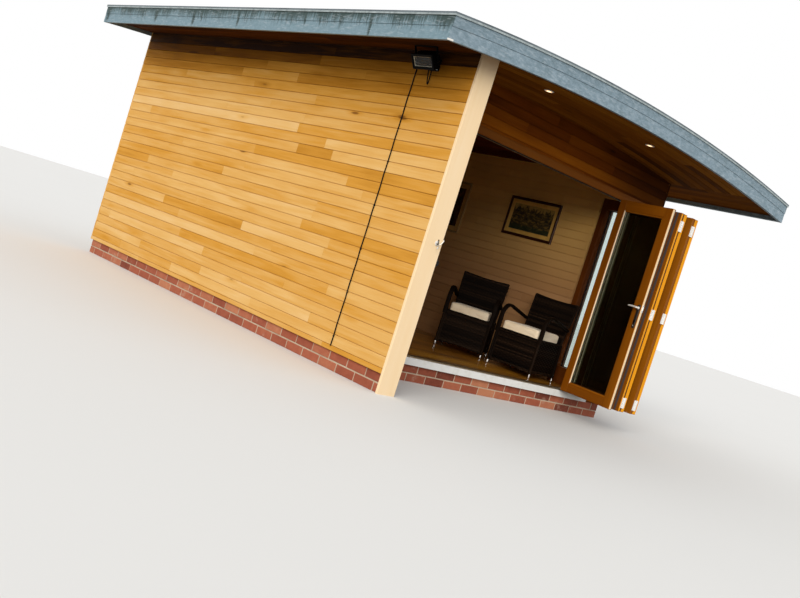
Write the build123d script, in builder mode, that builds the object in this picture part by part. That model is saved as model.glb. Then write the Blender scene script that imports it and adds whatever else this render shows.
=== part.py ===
from build123d import *
from math import atan2, cos, radians, sin, sqrt, tan
import os

# Garden office pod: a timber room on a two course brick plinth, under a shallow
# barrel roof whose deep front overhang shelters folding doors. Millimetres, +Z up.
# X runs left to right along the doors, Y from the veranda to the back. The origin
# is on the ground under the middle of the roof.

# Driving sizes of the walls
wall_width = 3680  # over the cladding, left to right
wing_depth = 770  # how far the left wall runs forward of the brick face
stud_thickness = 130
board_thickness = 20  # cladding outside, lining inside
plinth_height = 142
plinth_thickness = 215
floor_top = 205
header_thickness = 110

# Driving sizes of the roof
roof_depth = 5420
back_overhang = 40  # the roof past the back cladding
side_overhang = 530
roof_rise = 138
eave_height = 2385  # underside of the fascia at the eaves
fascia_height = 173
fascia_thickness = 35
fascia_step = 4
fascia_step_height = 92
veranda_depth = 980  # front of the fascia to the brick face
soffit_lift = 37  # soffit above the bottom edge of the fascia
soffit_thickness = 15
covering_thickness = 12
trim_thickness = 8
trim_height = 12
cornice_height = 70
cornice_thickness = 22

# Doors and their frame
jamb_width = 45
frame_head = 70
frame_depth = 100
frame_proud = 5  # the frame stands this far out of the brick face
track_height = 10
track_inset = 10  # from each face of the frame to the track
track_slot_front = 40
track_slot_width = 16
track_bed = 3
door_opening = 3140  # between the jambs
door_drop = 266  # from the eaves down to the head of the doors
leaf_count = 5
leaf_gap = 3
leaf_thickness = 44
leaf_stile = 80
leaf_top_rail = 92
leaf_bottom_rail = 88
leaf_lean = 4.6  # degrees that each folded leaf leans from square
leaf_spacing = 47  # between the middles of two leaves at their shared hinge
leaf_clear_front = 50  # folded leaves stand this far out of the brick face
glass_thickness = 24
glass_lap = 10
glass_gap = 0.3
hinge_radius = 8
hinge_height = 100
hinge_flap = 3
hinge_reach = 32
hinge_root = 8  # the jamb hinge's strip reaches this far over its flap
hinge_drop = 119  # top of a leaf to the middle of its top hinge
hinge_rise = 85  # bottom of a leaf to the middle of its bottom hinge
sill_height = 60
sill_nosing = 30
sill_round = 8

# Side window in the right wall
window_width = 492
window_stile = 65
window_top_rail = 98
window_bottom_rail = 228
window_depth = 130

# Handle, lamps and hook
handle_rise = 870  # floor to the middle of the handle's plate
handle_plate_width = 34
handle_plate_height = 220
handle_plate_thickness = 8
lever_length = 118
lever_radius = 9
lever_standoff = 45
lever_thickness = 12
lever_rise = 945  # floor to the lever
downlight_left = 864  # from the middle of the roof
downlight_right = 571
downlight_setback = 430  # from the front of the fascia
downlight_radius = 42
downlight_thickness = 4
downlight_body = 34
downlight_height = 90
downlight_glass = 26
downlight_recess = 12
downlight_slack = 1
hook_rise = 930  # floor to the hook
hook_inset = 55  # inner face of the wing to the middle of the hook
hook_plate = 38
hook_thickness = 5
hook_reach = 40
hook_lip = 30
lamp_drop = 14  # from the eaves down to the middle of the lamp
lamp_setback = 448  # from the front of the wing
lamp_width = 232
lamp_height = 112
lamp_depth = 90
lamp_tilt = 35
lamp_standoff = 102
lamp_recess = 40
lamp_taper = 8  # degrees that the housing narrows to its back
lamp_bowl = 28  # the same for the reflector
lamp_rim = 12
lamp_plate = 90
lamp_plate_thickness = 10
lamp_arm = 40
cable_setback = 645  # from the front of the wing
cable_radius = 5
cable_end = 175

# Pictures and armchairs inside
picture_border = 34
picture_depth = 20
landscape_width = 745
landscape_height = 440
landscape_setback = 1355  # inside of the door wall to the middle of the picture
landscape_rise = 1593  # floor to the middle of the picture
portrait_width = 470
portrait_height = 620
portrait_setback = 2640
portrait_rise = 1537
chair_width = 544  # over the arms
chair_depth = 600
chair_back_height = 836
chair_back_width = 525  # at the top
chair_back_lean = 75
chair_back_dip = 14
chair_panel = 22
chair_seat_width = 450
chair_seat_height = 392
chair_skirt_low = 95
chair_skirt_arch = 38
chair_arm_height = 645
chair_arm_width = 46
chair_arm_radius = 118
chair_arm_slope = 12  # degrees
chair_leg = 28
chair_foot_height = 40
chair_foot_step = 3
cushion_width = 440
cushion_height = 88
cushion_corner = 25
cushion_inset = 4
cushion_gap = 0.3
chair_inset_1 = 793  # right wall to the middle of the chair's front
chair_setback_1 = 1209  # brick face to the middle of the chair's front
chair_turn_1 = -53.7
chair_inset_2 = 702
chair_setback_2 = 566
chair_turn_2 = -77.9

# Places worked out from the sizes above
half_wall = wall_width / 2
half_roof = wall_width / 2 + side_overhang
roof_front = -roof_depth / 2
roof_back = roof_depth / 2
brick_face = roof_front + veranda_depth
cladding_back = roof_back - back_overhang
wing_front = brick_face - wing_depth
stud_out = half_wall - board_thickness
stud_in = stud_out - stud_thickness
room_half = stud_in - board_thickness
stud_back = cladding_back - board_thickness
room_back = stud_back - stud_thickness - board_thickness
header_front = brick_face + board_thickness
header_back = header_front + header_thickness
window_back = header_back + window_width
deck_low = soffit_lift + soffit_thickness
deck_high = fascia_height
soffit_edge = half_roof - fascia_thickness
soffit_front = roof_front + fascia_thickness
soffit_back = roof_back - fascia_thickness
frame_left = -room_half
opening_left = frame_left + jamb_width
opening_right = opening_left + door_opening
frame_right = opening_right + jamb_width
frame_front = brick_face - frame_proud
door_top = eave_height - door_drop
frame_top = door_top + frame_head
sill_top = plinth_height + sill_height
track_top = sill_top + track_height
lamp_level = eave_height - lamp_drop
lamp_place = wing_front + lamp_setback
cable_place = wing_front + cable_setback
downlight_y = roof_front + downlight_setback
downlight_places = ((-downlight_left, downlight_y), (downlight_right, downlight_y))
chair_places = (
    (chair_inset_1, chair_setback_1, chair_turn_1),
    (chair_inset_2, chair_setback_2, chair_turn_2),
)
leaf_width = (door_opening - (leaf_count + 1) * leaf_gap) / leaf_count
leaf_bottom = track_top + leaf_gap
leaf_height = door_top - leaf_gap - leaf_bottom
hinge_bottom = leaf_bottom + hinge_rise
hinge_top = leaf_bottom + leaf_height - hinge_drop
hinge_levels = (hinge_bottom, (hinge_bottom + hinge_top) / 2, hinge_top)
roof_radius = (half_roof**2 + roof_rise**2) / (2 * roof_rise)


def arc_height(x):
    # Bottom edge of the fascia above the ground, at a distance from the middle.
    return eave_height + roof_rise - roof_radius + sqrt(roof_radius**2 - x**2)


def arched_slab(x0, x1, y0, y1, low, high):
    # A slab between two heights above the roof curve.
    xm = (x0 + x1) / 2
    with BuildPart() as slab:
        with BuildSketch(Plane.XZ.offset(-y1)):
            with BuildLine():
                ThreePointArc(*[(x, arc_height(x) + low) for x in (x0, xm, x1)])
                Line((x1, arc_height(x1) + low), (x1, arc_height(x1) + high))
                ThreePointArc(*[(x, arc_height(x) + high) for x in (x1, xm, x0)])
                Line((x0, arc_height(x0) + high), (x0, arc_height(x0) + low))
            make_face()
        extrude(amount=y1 - y0)
    return slab.part


def under_roof(x0, x1, y0, y1, bottom, top=deck_low):
    # An upright block with a level bottom, whose top follows the roof curve.
    xm = (x0 + x1) / 2
    with BuildPart() as block:
        with BuildSketch(Plane.XZ.offset(-y1)):
            with BuildLine():
                Polyline((x0, arc_height(x0) + top), (x0, bottom), (x1, bottom), (x1, arc_height(x1) + top))
                ThreePointArc(*[(x, arc_height(x) + top) for x in (x1, xm, x0)])
            make_face()
        extrude(amount=y1 - y0)
    return block.part


def block(x0, x1, y0, y1, z0, z1):
    # A square-edged block between two corners.
    with BuildPart() as solid:
        with BuildSketch(Plane.XY.offset(z0)):
            with Locations(((x0 + x1) / 2, (y0 + y1) / 2)):
                Rectangle(x1 - x0, y1 - y0)
        extrude(amount=z1 - z0)
    return solid.part


def frame_part(plane, width, height, thickness, stile, top_rail, bottom_rail):
    # A glazed frame: stiles, rails and the groove that its glass stands in.
    # The plane's origin is the middle of the near bottom corner's thickness.
    opening_wide = width - 2 * stile
    opening_high = height - top_rail - bottom_rail
    middle = (width / 2, bottom_rail + opening_high / 2)
    with BuildPart() as frame:
        with BuildSketch(plane):
            with Locations((width / 2, height / 2)):
                Rectangle(width, height)
            with Locations(middle):
                Rectangle(opening_wide, opening_high, mode=Mode.SUBTRACT)
        extrude(amount=thickness / 2, both=True)
        with BuildSketch(plane):
            with Locations(middle):
                Rectangle(opening_wide + 2 * glass_lap, opening_high + 2 * glass_lap)
        extrude(amount=glass_thickness / 2 + glass_gap, both=True, mode=Mode.SUBTRACT)
    return frame.part


def glass_part(plane, width, height, stile, top_rail, bottom_rail):
    # The pane that stands in a frame's groove.
    wide = width - 2 * stile + 2 * (glass_lap - glass_gap)
    high = height - top_rail - bottom_rail + 2 * (glass_lap - glass_gap)
    with BuildPart() as pane:
        with BuildSketch(plane):
            with Locations((width / 2, bottom_rail - glass_lap + glass_gap + high / 2)):
                Rectangle(wide, high)
        extrude(amount=glass_thickness / 2, both=True)
    return pane.part


# Ground works and floor
with BuildPart() as brick_plinth:
    with BuildSketch():
        with Locations((0, (brick_face + stud_back) / 2)):
            Rectangle(2 * stud_out, stud_back - brick_face)
            Rectangle(
                2 * (stud_out - plinth_thickness),
                stud_back - brick_face - 2 * plinth_thickness,
                mode=Mode.SUBTRACT,
            )
        wing_footing = wing_depth - board_thickness
        with Locations((-(stud_out + room_half) / 2, brick_face - wing_footing / 2)):
            Rectangle(stud_out - room_half, wing_footing)
    extrude(amount=plinth_height)

with BuildPart() as door_sill:
    add(block(frame_left, frame_right, brick_face - sill_nosing, header_back, plinth_height, sill_top))
    nose = door_sill.edges().filter_by(Axis.X).group_by(Axis.Y)[0].sort_by(Axis.Z)[-1]
    fillet(nose, sill_round)

with BuildPart() as floor_deck:
    add(block(-stud_in, stud_in, header_back, stud_back - stud_thickness, plinth_height, floor_top))

# Wall frames
with BuildPart() as left_wall:
    add(under_roof(-stud_out, -stud_in, wing_front + board_thickness, stud_back, plinth_height))

with BuildPart() as back_wall:
    add(under_roof(-stud_in, stud_in, stud_back - stud_thickness, stud_back, plinth_height))

with BuildPart() as right_wall:
    add(under_roof(stud_in, stud_out, window_back, stud_back, plinth_height))

with BuildPart() as window_lintel:
    add(under_roof(stud_in, stud_out, header_back, window_back, frame_top))

with BuildPart() as corner_pier:
    add(block(frame_right, stud_out, header_front, header_back, plinth_height, frame_top))

with BuildPart() as door_header:
    add(under_roof(-stud_in + board_thickness, stud_out, header_front, header_back, frame_top))

# Cladding, end board and lining
with BuildPart() as wing_end_board:
    add(under_roof(-half_wall, -room_half, wing_front, wing_front + board_thickness, 0))
    fillet(wing_end_board.edges().filter_by(Axis.Z).group_by(Axis.Y)[0], 3)

with BuildPart() as left_cladding:
    add(under_roof(-half_wall, -stud_out, wing_front + board_thickness, stud_back, plinth_height))

with BuildPart() as wing_lining:
    add(under_roof(-stud_in, -room_half, wing_front + board_thickness, header_back, plinth_height))

with BuildPart() as back_cladding:
    add(under_roof(-half_wall, half_wall, stud_back, cladding_back, plinth_height))

with BuildPart() as right_cladding:
    add(under_roof(stud_out, half_wall, brick_face, stud_back, plinth_height))
    window_hole = block(stud_out, half_wall, header_back, window_back, plinth_height, frame_top)
    add(window_hole, mode=Mode.SUBTRACT)

with BuildPart() as front_cladding:
    add(under_roof(frame_left, stud_out, brick_face, header_front, frame_top))
    add(block(frame_right, stud_out, brick_face, header_front, plinth_height, frame_top))

with BuildPart() as room_lining:
    add(under_roof(-stud_in, -room_half, header_back, stud_back - stud_thickness, floor_top))
    add(under_roof(room_half, stud_in, window_back, stud_back - stud_thickness, floor_top))
    add(under_roof(-room_half, room_half, room_back, stud_back - stud_thickness, floor_top))
    add(under_roof(room_half, stud_in, header_back, window_back, frame_top))
    add(under_roof(-room_half, room_half, header_back, header_back + board_thickness, frame_top))
    add(block(frame_right, room_half, header_back, header_back + board_thickness, floor_top, frame_top))

# Roof


def downlight_seat(x):
    # The lowest part of the soffit that a downlight's rim covers.
    return arc_height(abs(x) + downlight_radius) + soffit_lift


def downlight_holes():
    # What the downlights' bodies take out of the soffit and the deck above it.
    with BuildPart() as holes:
        for lamp_x, lamp_y in downlight_places:
            with BuildSketch(Plane.XY.offset(downlight_seat(lamp_x))):
                with Locations((lamp_x, lamp_y)):
                    Circle(downlight_body)
            extrude(amount=downlight_height + downlight_slack)
    return holes.part


with BuildPart() as roof_deck:
    add(arched_slab(-soffit_edge, soffit_edge, soffit_front, soffit_back, deck_low, deck_high))
    add(downlight_holes(), mode=Mode.SUBTRACT)

with BuildPart() as roof_covering:
    add(
        arched_slab(
            -half_roof - trim_thickness,
            half_roof + trim_thickness,
            roof_front - trim_thickness,
            roof_back + trim_thickness,
            fascia_height,
            fascia_height + covering_thickness,
        )
    )

with BuildPart() as roof_edge_trim:
    add(
        arched_slab(
            -half_roof - trim_thickness,
            half_roof + trim_thickness,
            roof_front - trim_thickness,
            roof_back + trim_thickness,
            fascia_height - trim_height,
            fascia_height,
        )
    )
    trim_inside = arched_slab(-half_roof, half_roof, roof_front, roof_back, 0, fascia_height)
    add(trim_inside, mode=Mode.SUBTRACT)

with BuildPart() as front_fascia:
    add(arched_slab(-half_roof, half_roof, roof_front, soffit_front, 0, fascia_height))
    front_step = arched_slab(
        -half_roof, half_roof, roof_front, roof_front + fascia_step, 0, fascia_step_height
    )
    add(front_step, mode=Mode.SUBTRACT)

with BuildPart() as back_fascia:
    add(arched_slab(-half_roof, half_roof, soffit_back, roof_back, 0, fascia_height))
    back_step = arched_slab(
        -half_roof, half_roof, roof_back - fascia_step, roof_back, 0, fascia_step_height
    )
    add(back_step, mode=Mode.SUBTRACT)

with BuildPart() as side_fascias:
    add(arched_slab(-half_roof, -soffit_edge, soffit_front, soffit_back, 0, fascia_height))
    side_step = arched_slab(
        -half_roof, -half_roof + fascia_step, soffit_front, soffit_back, 0, fascia_step_height
    )
    add(side_step, mode=Mode.SUBTRACT)
    mirror(about=Plane.YZ)

with BuildPart() as veranda_soffit:
    add(arched_slab(-half_wall, half_wall, soffit_front, wing_front, soffit_lift, deck_low))
    add(arched_slab(-room_half, half_wall, wing_front, brick_face, soffit_lift, deck_low))
    add(downlight_holes(), mode=Mode.SUBTRACT)

with BuildPart() as side_soffits:
    add(arched_slab(-soffit_edge, -half_wall, soffit_front, soffit_back, soffit_lift, deck_low))
    mirror(about=Plane.YZ)

with BuildPart() as room_ceiling:
    ceiling_front = header_back + board_thickness
    add(arched_slab(-room_half, room_half, ceiling_front, room_back, soffit_lift, deck_low))

with BuildPart() as ceiling_cornice:
    cornice_x = room_half - cornice_thickness
    add(arched_slab(cornice_x, room_half, ceiling_front, room_back, soffit_lift - cornice_height, soffit_lift))
    mirror(about=Plane.YZ)

# Door frame with its track
with BuildPart() as door_frame:
    frame_back = frame_front + frame_depth
    add(block(frame_left, frame_right, frame_front, frame_back, door_top, frame_top))
    add(block(frame_left, opening_left, frame_front, frame_back, sill_top, door_top))
    add(block(opening_right, frame_right, frame_front, frame_back, sill_top, door_top))
    track_front = frame_front + track_inset
    track_back = frame_back - track_inset
    add(block(opening_left, opening_right, track_front, track_back, sill_top, track_top))
    slot_front = frame_front + track_slot_front
    slot_back = slot_front + track_slot_width
    track_slot = block(
        opening_left, opening_right, slot_front, slot_back, sill_top + track_bed, track_top
    )
    add(track_slot, mode=Mode.SUBTRACT)


# Folded leaves: each is placed by a plane at its inner end, numbered from the lead leaf.
lean_shift = leaf_width * sin(radians(leaf_lean))
leaf_pitch = leaf_spacing + lean_shift
leaf_inner_y = brick_face - leaf_clear_front
leaf_outer_y = leaf_inner_y - leaf_width * cos(radians(leaf_lean))
last_inner_x = opening_right - leaf_gap - leaf_thickness / 2


def leaf_middle(number):
    # Where the middle of a leaf's length stands between left and right.
    return last_inner_x - lean_shift / 2 - (leaf_count - number) * leaf_pitch


def leaf_plane(number):
    # Odd leaves lean out to the left, even ones to the right. Local x runs outwards.
    side = -1 if number % 2 else 1
    lean = side * radians(leaf_lean)
    inner = leaf_middle(number) - side * lean_shift / 2
    return Plane(
        origin=(inner, leaf_inner_y, leaf_bottom),
        x_dir=(sin(lean), -cos(lean), 0),
        z_dir=(-cos(lean), -sin(lean), 0),
    )


leaves = []
panes = []
for number in range(1, leaf_count + 1):
    place = leaf_plane(number)
    leaf = frame_part(
        place, leaf_width, leaf_height, leaf_thickness, leaf_stile, leaf_top_rail, leaf_bottom_rail
    )
    leaves.append(leaf)
    panes.append(glass_part(place, leaf_width, leaf_height, leaf_stile, leaf_top_rail, leaf_bottom_rail))

with BuildPart() as door_glass:
    add(panes)


def hinge_flap_on(number, at_outer, toward_right, level):
    # A flap screwed to the end of a leaf, beside the knuckle.
    place = leaf_plane(number)
    x_local = leaf_width + hinge_flap / 2 if at_outer else -hinge_flap / 2
    z_side = -1 if toward_right else 1
    centre = place.from_local_coords(
        (x_local, level - leaf_bottom, z_side * (leaf_thickness - hinge_reach) / 2)
    )
    with BuildPart(Plane(origin=centre, x_dir=place.x_dir, z_dir=place.z_dir)) as flap:
        Box(hinge_flap, hinge_height, hinge_reach)
    return flap.part


def hinge_between(number, at_outer, level):
    # The hinge that joins a leaf to the next one, with its knuckle between them.
    first = leaf_plane(number)
    second = leaf_plane(number + 1)
    x_end = leaf_width if at_outer else 0
    a = first.from_local_coords((x_end, 0, -leaf_thickness / 2))
    b = second.from_local_coords((x_end, 0, leaf_thickness / 2))
    away = -1 if at_outer else 1
    y_knuckle = (a.Y + b.Y) / 2 + away * (hinge_radius + glass_gap)
    with BuildPart() as hinge:
        with BuildSketch(Plane.XY.offset(level - hinge_height / 2)):
            with Locations(((a.X + b.X) / 2, y_knuckle)):
                Circle(hinge_radius)
        extrude(amount=hinge_height)
        add(hinge_flap_on(number, at_outer, True, level))
        add(hinge_flap_on(number + 1, at_outer, False, level))
    return hinge.part


def hinge_to_jamb(level):
    # The last leaf's hinge: a knuckle on an arm from the face of the jamb.
    corner = leaf_plane(leaf_count).from_local_coords((0, 0, -leaf_thickness / 2))
    x_knuckle = opening_right + hinge_radius
    y_knuckle = corner.Y + hinge_radius
    with BuildPart() as hinge:
        with BuildSketch(Plane.XY.offset(level - hinge_height / 2)):
            with Locations((x_knuckle, y_knuckle)):
                Circle(hinge_radius)
            with Locations((x_knuckle + hinge_radius / 2, (y_knuckle + frame_front) / 2)):
                Rectangle(hinge_radius, frame_front - y_knuckle)
            with Locations((corner.X - hinge_root, corner.Y + hinge_flap)):
                Rectangle(x_knuckle - corner.X + hinge_root, hinge_flap, align=(Align.MIN, Align.CENTER))
        extrude(amount=hinge_height)
        add(hinge_flap_on(leaf_count, False, True, level))
    return hinge.part


with BuildPart() as door_hinges:
    for level in hinge_levels:
        for number in range(1, leaf_count):
            add(hinge_between(number, number % 2 == 0, level))
        add(hinge_to_jamb(level))

with BuildPart() as door_handle:
    lead = leaf_plane(1)
    face = Plane(
        origin=lead.from_local_coords((0, -leaf_bottom, leaf_thickness / 2)),
        x_dir=lead.x_dir,
        z_dir=lead.z_dir,
    )
    stile_middle = leaf_width - leaf_stile / 2
    with BuildSketch(face):
        with Locations((stile_middle, floor_top + handle_rise)):
            RectangleRounded(handle_plate_width, handle_plate_height, handle_plate_width / 3)
    extrude(amount=handle_plate_thickness)
    with BuildSketch(face.offset(handle_plate_thickness)):
        with Locations((stile_middle, floor_top + lever_rise)):
            Circle(lever_radius * 0.8)
    extrude(amount=lever_standoff - lever_thickness)
    with BuildSketch(face.offset(handle_plate_thickness + lever_standoff)):
        with Locations((stile_middle + lever_radius - lever_length / 2, floor_top + lever_rise)):
            RectangleRounded(lever_length, 2 * lever_radius, lever_radius * 0.9)
    extrude(amount=-lever_thickness)

# Side window in the right wall
window_height = frame_top - plinth_height
window_plane = Plane(
    origin=((stud_in + stud_out) / 2, window_back, plinth_height), x_dir=(0, -1, 0), z_dir=(-1, 0, 0)
)
side_window_size = (window_width, window_height)
with BuildPart() as side_window_frame:
    add(
        frame_part(
            window_plane, *side_window_size, window_depth, window_stile, window_top_rail, window_bottom_rail
        )
    )

with BuildPart() as side_window_glass:
    add(glass_part(window_plane, *side_window_size, window_stile, window_top_rail, window_bottom_rail))

# Lamps, cable and hook
with BuildPart() as downlights:
    for lamp_x, lamp_y in downlight_places:
        with BuildSketch(Plane.XY.offset(downlight_seat(lamp_x))):
            with Locations((lamp_x, lamp_y)):
                Circle(downlight_radius)
        extrude(amount=-downlight_thickness)
        with BuildSketch(Plane.XY.offset(downlight_seat(lamp_x))):
            with Locations((lamp_x, lamp_y)):
                Circle(downlight_body)
        extrude(amount=downlight_height)
        with BuildSketch(Plane.XY.offset(downlight_seat(lamp_x) - downlight_thickness)):
            with Locations((lamp_x, lamp_y)):
                Circle(downlight_glass)
        extrude(amount=downlight_recess, mode=Mode.SUBTRACT)

with BuildPart() as flood_light:
    lamp_centre = (-half_wall - lamp_standoff, lamp_place, lamp_level)
    tilt = radians(lamp_tilt)
    lamp_plane = Plane(origin=lamp_centre, x_dir=(0, 1, 0), z_dir=(-cos(tilt), 0, -sin(tilt)))
    with BuildSketch(lamp_plane.offset(lamp_depth / 2)):
        Rectangle(lamp_width, lamp_height)
    extrude(amount=-lamp_depth, taper=lamp_taper)
    with BuildSketch(lamp_plane.offset(lamp_depth / 2)):
        Rectangle(lamp_width - 2 * lamp_rim, lamp_height - 2 * lamp_rim)
    extrude(amount=-lamp_recess, taper=lamp_bowl, mode=Mode.SUBTRACT)
    with BuildSketch(Plane.YZ.offset(-half_wall)):
        with Locations((lamp_place, lamp_level)):
            Rectangle(lamp_plate, lamp_plate)
    extrude(amount=-lamp_plate_thickness)
    with BuildSketch(Plane.YZ.offset(-half_wall)):
        with Locations((lamp_place, lamp_level)):
            Rectangle(lamp_arm, lamp_arm)
    extrude(amount=-lamp_standoff + lamp_depth / 4)

with BuildPart() as flood_light_cable:
    cable_x = -half_wall - cable_radius
    with BuildSketch(Plane.XY.offset(cable_end)):
        with Locations((cable_x, cable_place)):
            Circle(cable_radius)
    extrude(amount=lamp_level - lamp_height / 2 - cable_end)

with BuildPart() as wall_hook:
    hook_x = -room_half - hook_inset
    with BuildSketch(Plane.XZ.offset(-wing_front)):
        with Locations((hook_x, floor_top + hook_rise)):
            Rectangle(hook_plate, hook_plate)
    extrude(amount=hook_thickness)
    with BuildSketch(Plane.XZ.offset(-wing_front)):
        with Locations((hook_x, floor_top + hook_rise)):
            Rectangle(hook_thickness, hook_thickness)
    extrude(amount=hook_reach)
    with BuildSketch(Plane.XZ.offset(-wing_front + hook_reach - hook_thickness)):
        with Locations((hook_x, floor_top + hook_rise - hook_thickness / 2)):
            Rectangle(hook_thickness, hook_lip, align=(Align.CENTER, Align.MIN))
    extrude(amount=hook_thickness)

# Pictures on the right wall
with BuildPart() as wall_pictures:
    for wide, high, setback, rise in (
        (landscape_width, landscape_height, landscape_setback, landscape_rise),
        (portrait_width, portrait_height, portrait_setback, portrait_rise),
    ):
        with BuildSketch(Plane.YZ.offset(room_half)):
            with Locations((header_back + setback, floor_top + rise)):
                Rectangle(wide, high)
        extrude(amount=-picture_depth)
        with BuildSketch(Plane.YZ.offset(room_half - picture_depth)):
            with Locations((header_back + setback, floor_top + rise)):
                Rectangle(wide - 2 * picture_border, high - 2 * picture_border)
        extrude(amount=picture_depth / 2, mode=Mode.SUBTRACT)


# Armchairs: a woven seat box and back on slim legs that arch over into the arms
def chair_plane(inset, setback, turn):
    # On the floor at the middle of the chair's front, local y towards its back.
    angle = radians(turn)
    origin = (room_half - inset, brick_face + setback, floor_top)
    return Plane(origin=origin, x_dir=(cos(angle), sin(angle), 0), z_dir=(0, 0, 1))


def armchair(inset, setback, turn):
    base = chair_plane(inset, setback, turn)
    seat_front = chair_leg / 2
    seat_back = chair_depth - chair_back_lean - chair_panel
    seat_middle = (seat_front + seat_back) / 2
    seat_depth = seat_back - seat_front
    skirt_height = chair_seat_height - chair_skirt_low
    half_leg = chair_leg / 2
    leg_x = chair_width / 2 - chair_arm_width / 2
    heel_y = seat_back + half_leg
    arm_foot = chair_seat_height - chair_arm_width
    bend = Vector(half_leg + chair_arm_radius, chair_arm_height - half_leg - chair_arm_radius)
    arm_reach = seat_back + chair_panel - bend.X - chair_arm_radius * sin(radians(chair_arm_slope))
    arm_run = Vector(arm_reach, -arm_reach * tan(radians(chair_arm_slope)))

    def arm_point(share, outer):
        # On the arm's bend: from the leg at 0 to the start of its slope at 1.
        angle = radians(180 - share * (90 + chair_arm_slope))
        radius = chair_arm_radius + outer * half_leg
        return bend + Vector(cos(angle), sin(angle)) * radius

    def across(y):
        # Upright plane across the chair, facing its front.
        return Plane(origin=base.from_local_coords((0, y, 0)), x_dir=base.x_dir, z_dir=-base.y_dir)

    def along(x):
        # Upright plane from front to back: local x runs to the back, local y up.
        return Plane(origin=base.from_local_coords((x, 0, 0)), x_dir=base.y_dir, z_dir=base.x_dir)

    def skirt_arch(width):
        # The hollow under a skirt between its two legs.
        left = (-width / 2, chair_skirt_low)
        right = (width / 2, chair_skirt_low)
        with BuildSketch() as arch:
            with BuildLine():
                ThreePointArc(left, (0, chair_skirt_low + chair_skirt_arch), right)
                Line(right, left)
            make_face()
        return arch.sketch

    with BuildPart() as chair:
        # Seat box with arched skirts
        with BuildSketch(base.offset(chair_skirt_low)):
            with Locations((0, seat_middle)):
                Rectangle(chair_seat_width, seat_depth)
                Rectangle(
                    chair_seat_width - 2 * chair_panel, seat_depth - 2 * chair_panel, mode=Mode.SUBTRACT
                )
        extrude(amount=skirt_height)
        with BuildSketch(base.offset(chair_seat_height - chair_panel)):
            with Locations((0, seat_middle)):
                Rectangle(chair_seat_width, seat_depth)
        extrude(amount=chair_panel)
        with BuildSketch(across(0)):
            add(skirt_arch(chair_seat_width - 2 * chair_panel))
        extrude(amount=-chair_depth, mode=Mode.SUBTRACT)
        with BuildSketch(along(-chair_width / 2)):
            with Locations((seat_middle, 0)):
                add(skirt_arch(seat_depth - 2 * chair_panel))
        extrude(amount=chair_width, mode=Mode.SUBTRACT)
        # Back: it widens upwards, leans back and dips along its top edge
        lean = atan2(chair_back_lean, chair_back_height - chair_seat_height)
        back_length = (chair_back_height - chair_seat_height) / cos(lean)
        back_plane = Plane(
            origin=base.from_local_coords((0, seat_back, chair_seat_height)),
            x_dir=base.x_dir,
            z_dir=base.y_dir * -cos(lean) + Vector(0, 0, sin(lean)),
        )
        with BuildSketch(back_plane):
            with BuildLine():
                low_left = (-chair_seat_width / 2, -chair_panel)
                low_right = (chair_seat_width / 2, -chair_panel)
                high_left = (-chair_back_width / 2, back_length)
                high_right = (chair_back_width / 2, back_length)
                Polyline(high_left, low_left, low_right, high_right)
                ThreePointArc(high_right, (0, back_length - chair_back_dip), high_left)
            make_face()
        extrude(amount=-chair_panel)
        # Front legs that arch over into the arms, back legs and feet
        for side in (-1, 1):
            with BuildSketch(along(side * leg_x - chair_arm_width / 2)):
                with BuildLine():
                    Line((0, arm_foot), (0, bend.Y))
                    ThreePointArc((0, bend.Y), arm_point(0.5, 1), arm_point(1, 1))
                    Polyline(
                        arm_point(1, 1),
                        arm_point(1, 1) + arm_run,
                        arm_point(1, -1) + arm_run,
                        arm_point(1, -1),
                    )
                    ThreePointArc(arm_point(1, -1), arm_point(0.5, -1), (chair_leg, bend.Y))
                    Polyline((chair_leg, bend.Y), (chair_leg, arm_foot), (0, arm_foot))
                make_face()
            extrude(amount=chair_arm_width)
            with BuildSketch(base.offset(chair_foot_height)):
                with Locations((side * leg_x, half_leg)):
                    Circle(half_leg)
            extrude(amount=chair_seat_height - chair_foot_height)
            heel = base.from_local_coords((side * leg_x, heel_y, chair_foot_height))
            hip = base.from_local_coords((side * chair_seat_width / 2, seat_back, chair_seat_height))
            with BuildSketch(Plane(origin=heel, z_dir=hip - heel)):
                Circle(half_leg)
            extrude(amount=(hip - heel).length)
            with BuildSketch(base):
                with Locations((side * leg_x, half_leg), (side * leg_x, heel_y)):
                    Circle(half_leg - chair_foot_step)
            extrude(amount=chair_foot_height)
            with BuildSketch(base.offset(arm_foot)):
                with Locations((side * (leg_x + chair_seat_width / 2 - chair_panel) / 2, half_leg)):
                    Rectangle(leg_x - chair_seat_width / 2 + chair_panel, chair_leg)
            extrude(amount=chair_arm_width)
    return chair.part


def seat_cushion(inset, setback, turn):
    base = chair_plane(inset, setback, turn)
    depth = chair_depth - chair_back_lean - chair_panel - cushion_inset
    with BuildPart() as cushion:
        with BuildSketch(base.offset(chair_seat_height + cushion_gap)):
            with Locations((0, depth / 2)):
                RectangleRounded(cushion_width, depth, cushion_corner)
        extrude(amount=cushion_height)
    return cushion.part


with BuildPart() as chair_cushions:
    for chair_place in chair_places:
        add(seat_cushion(*chair_place))

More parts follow.
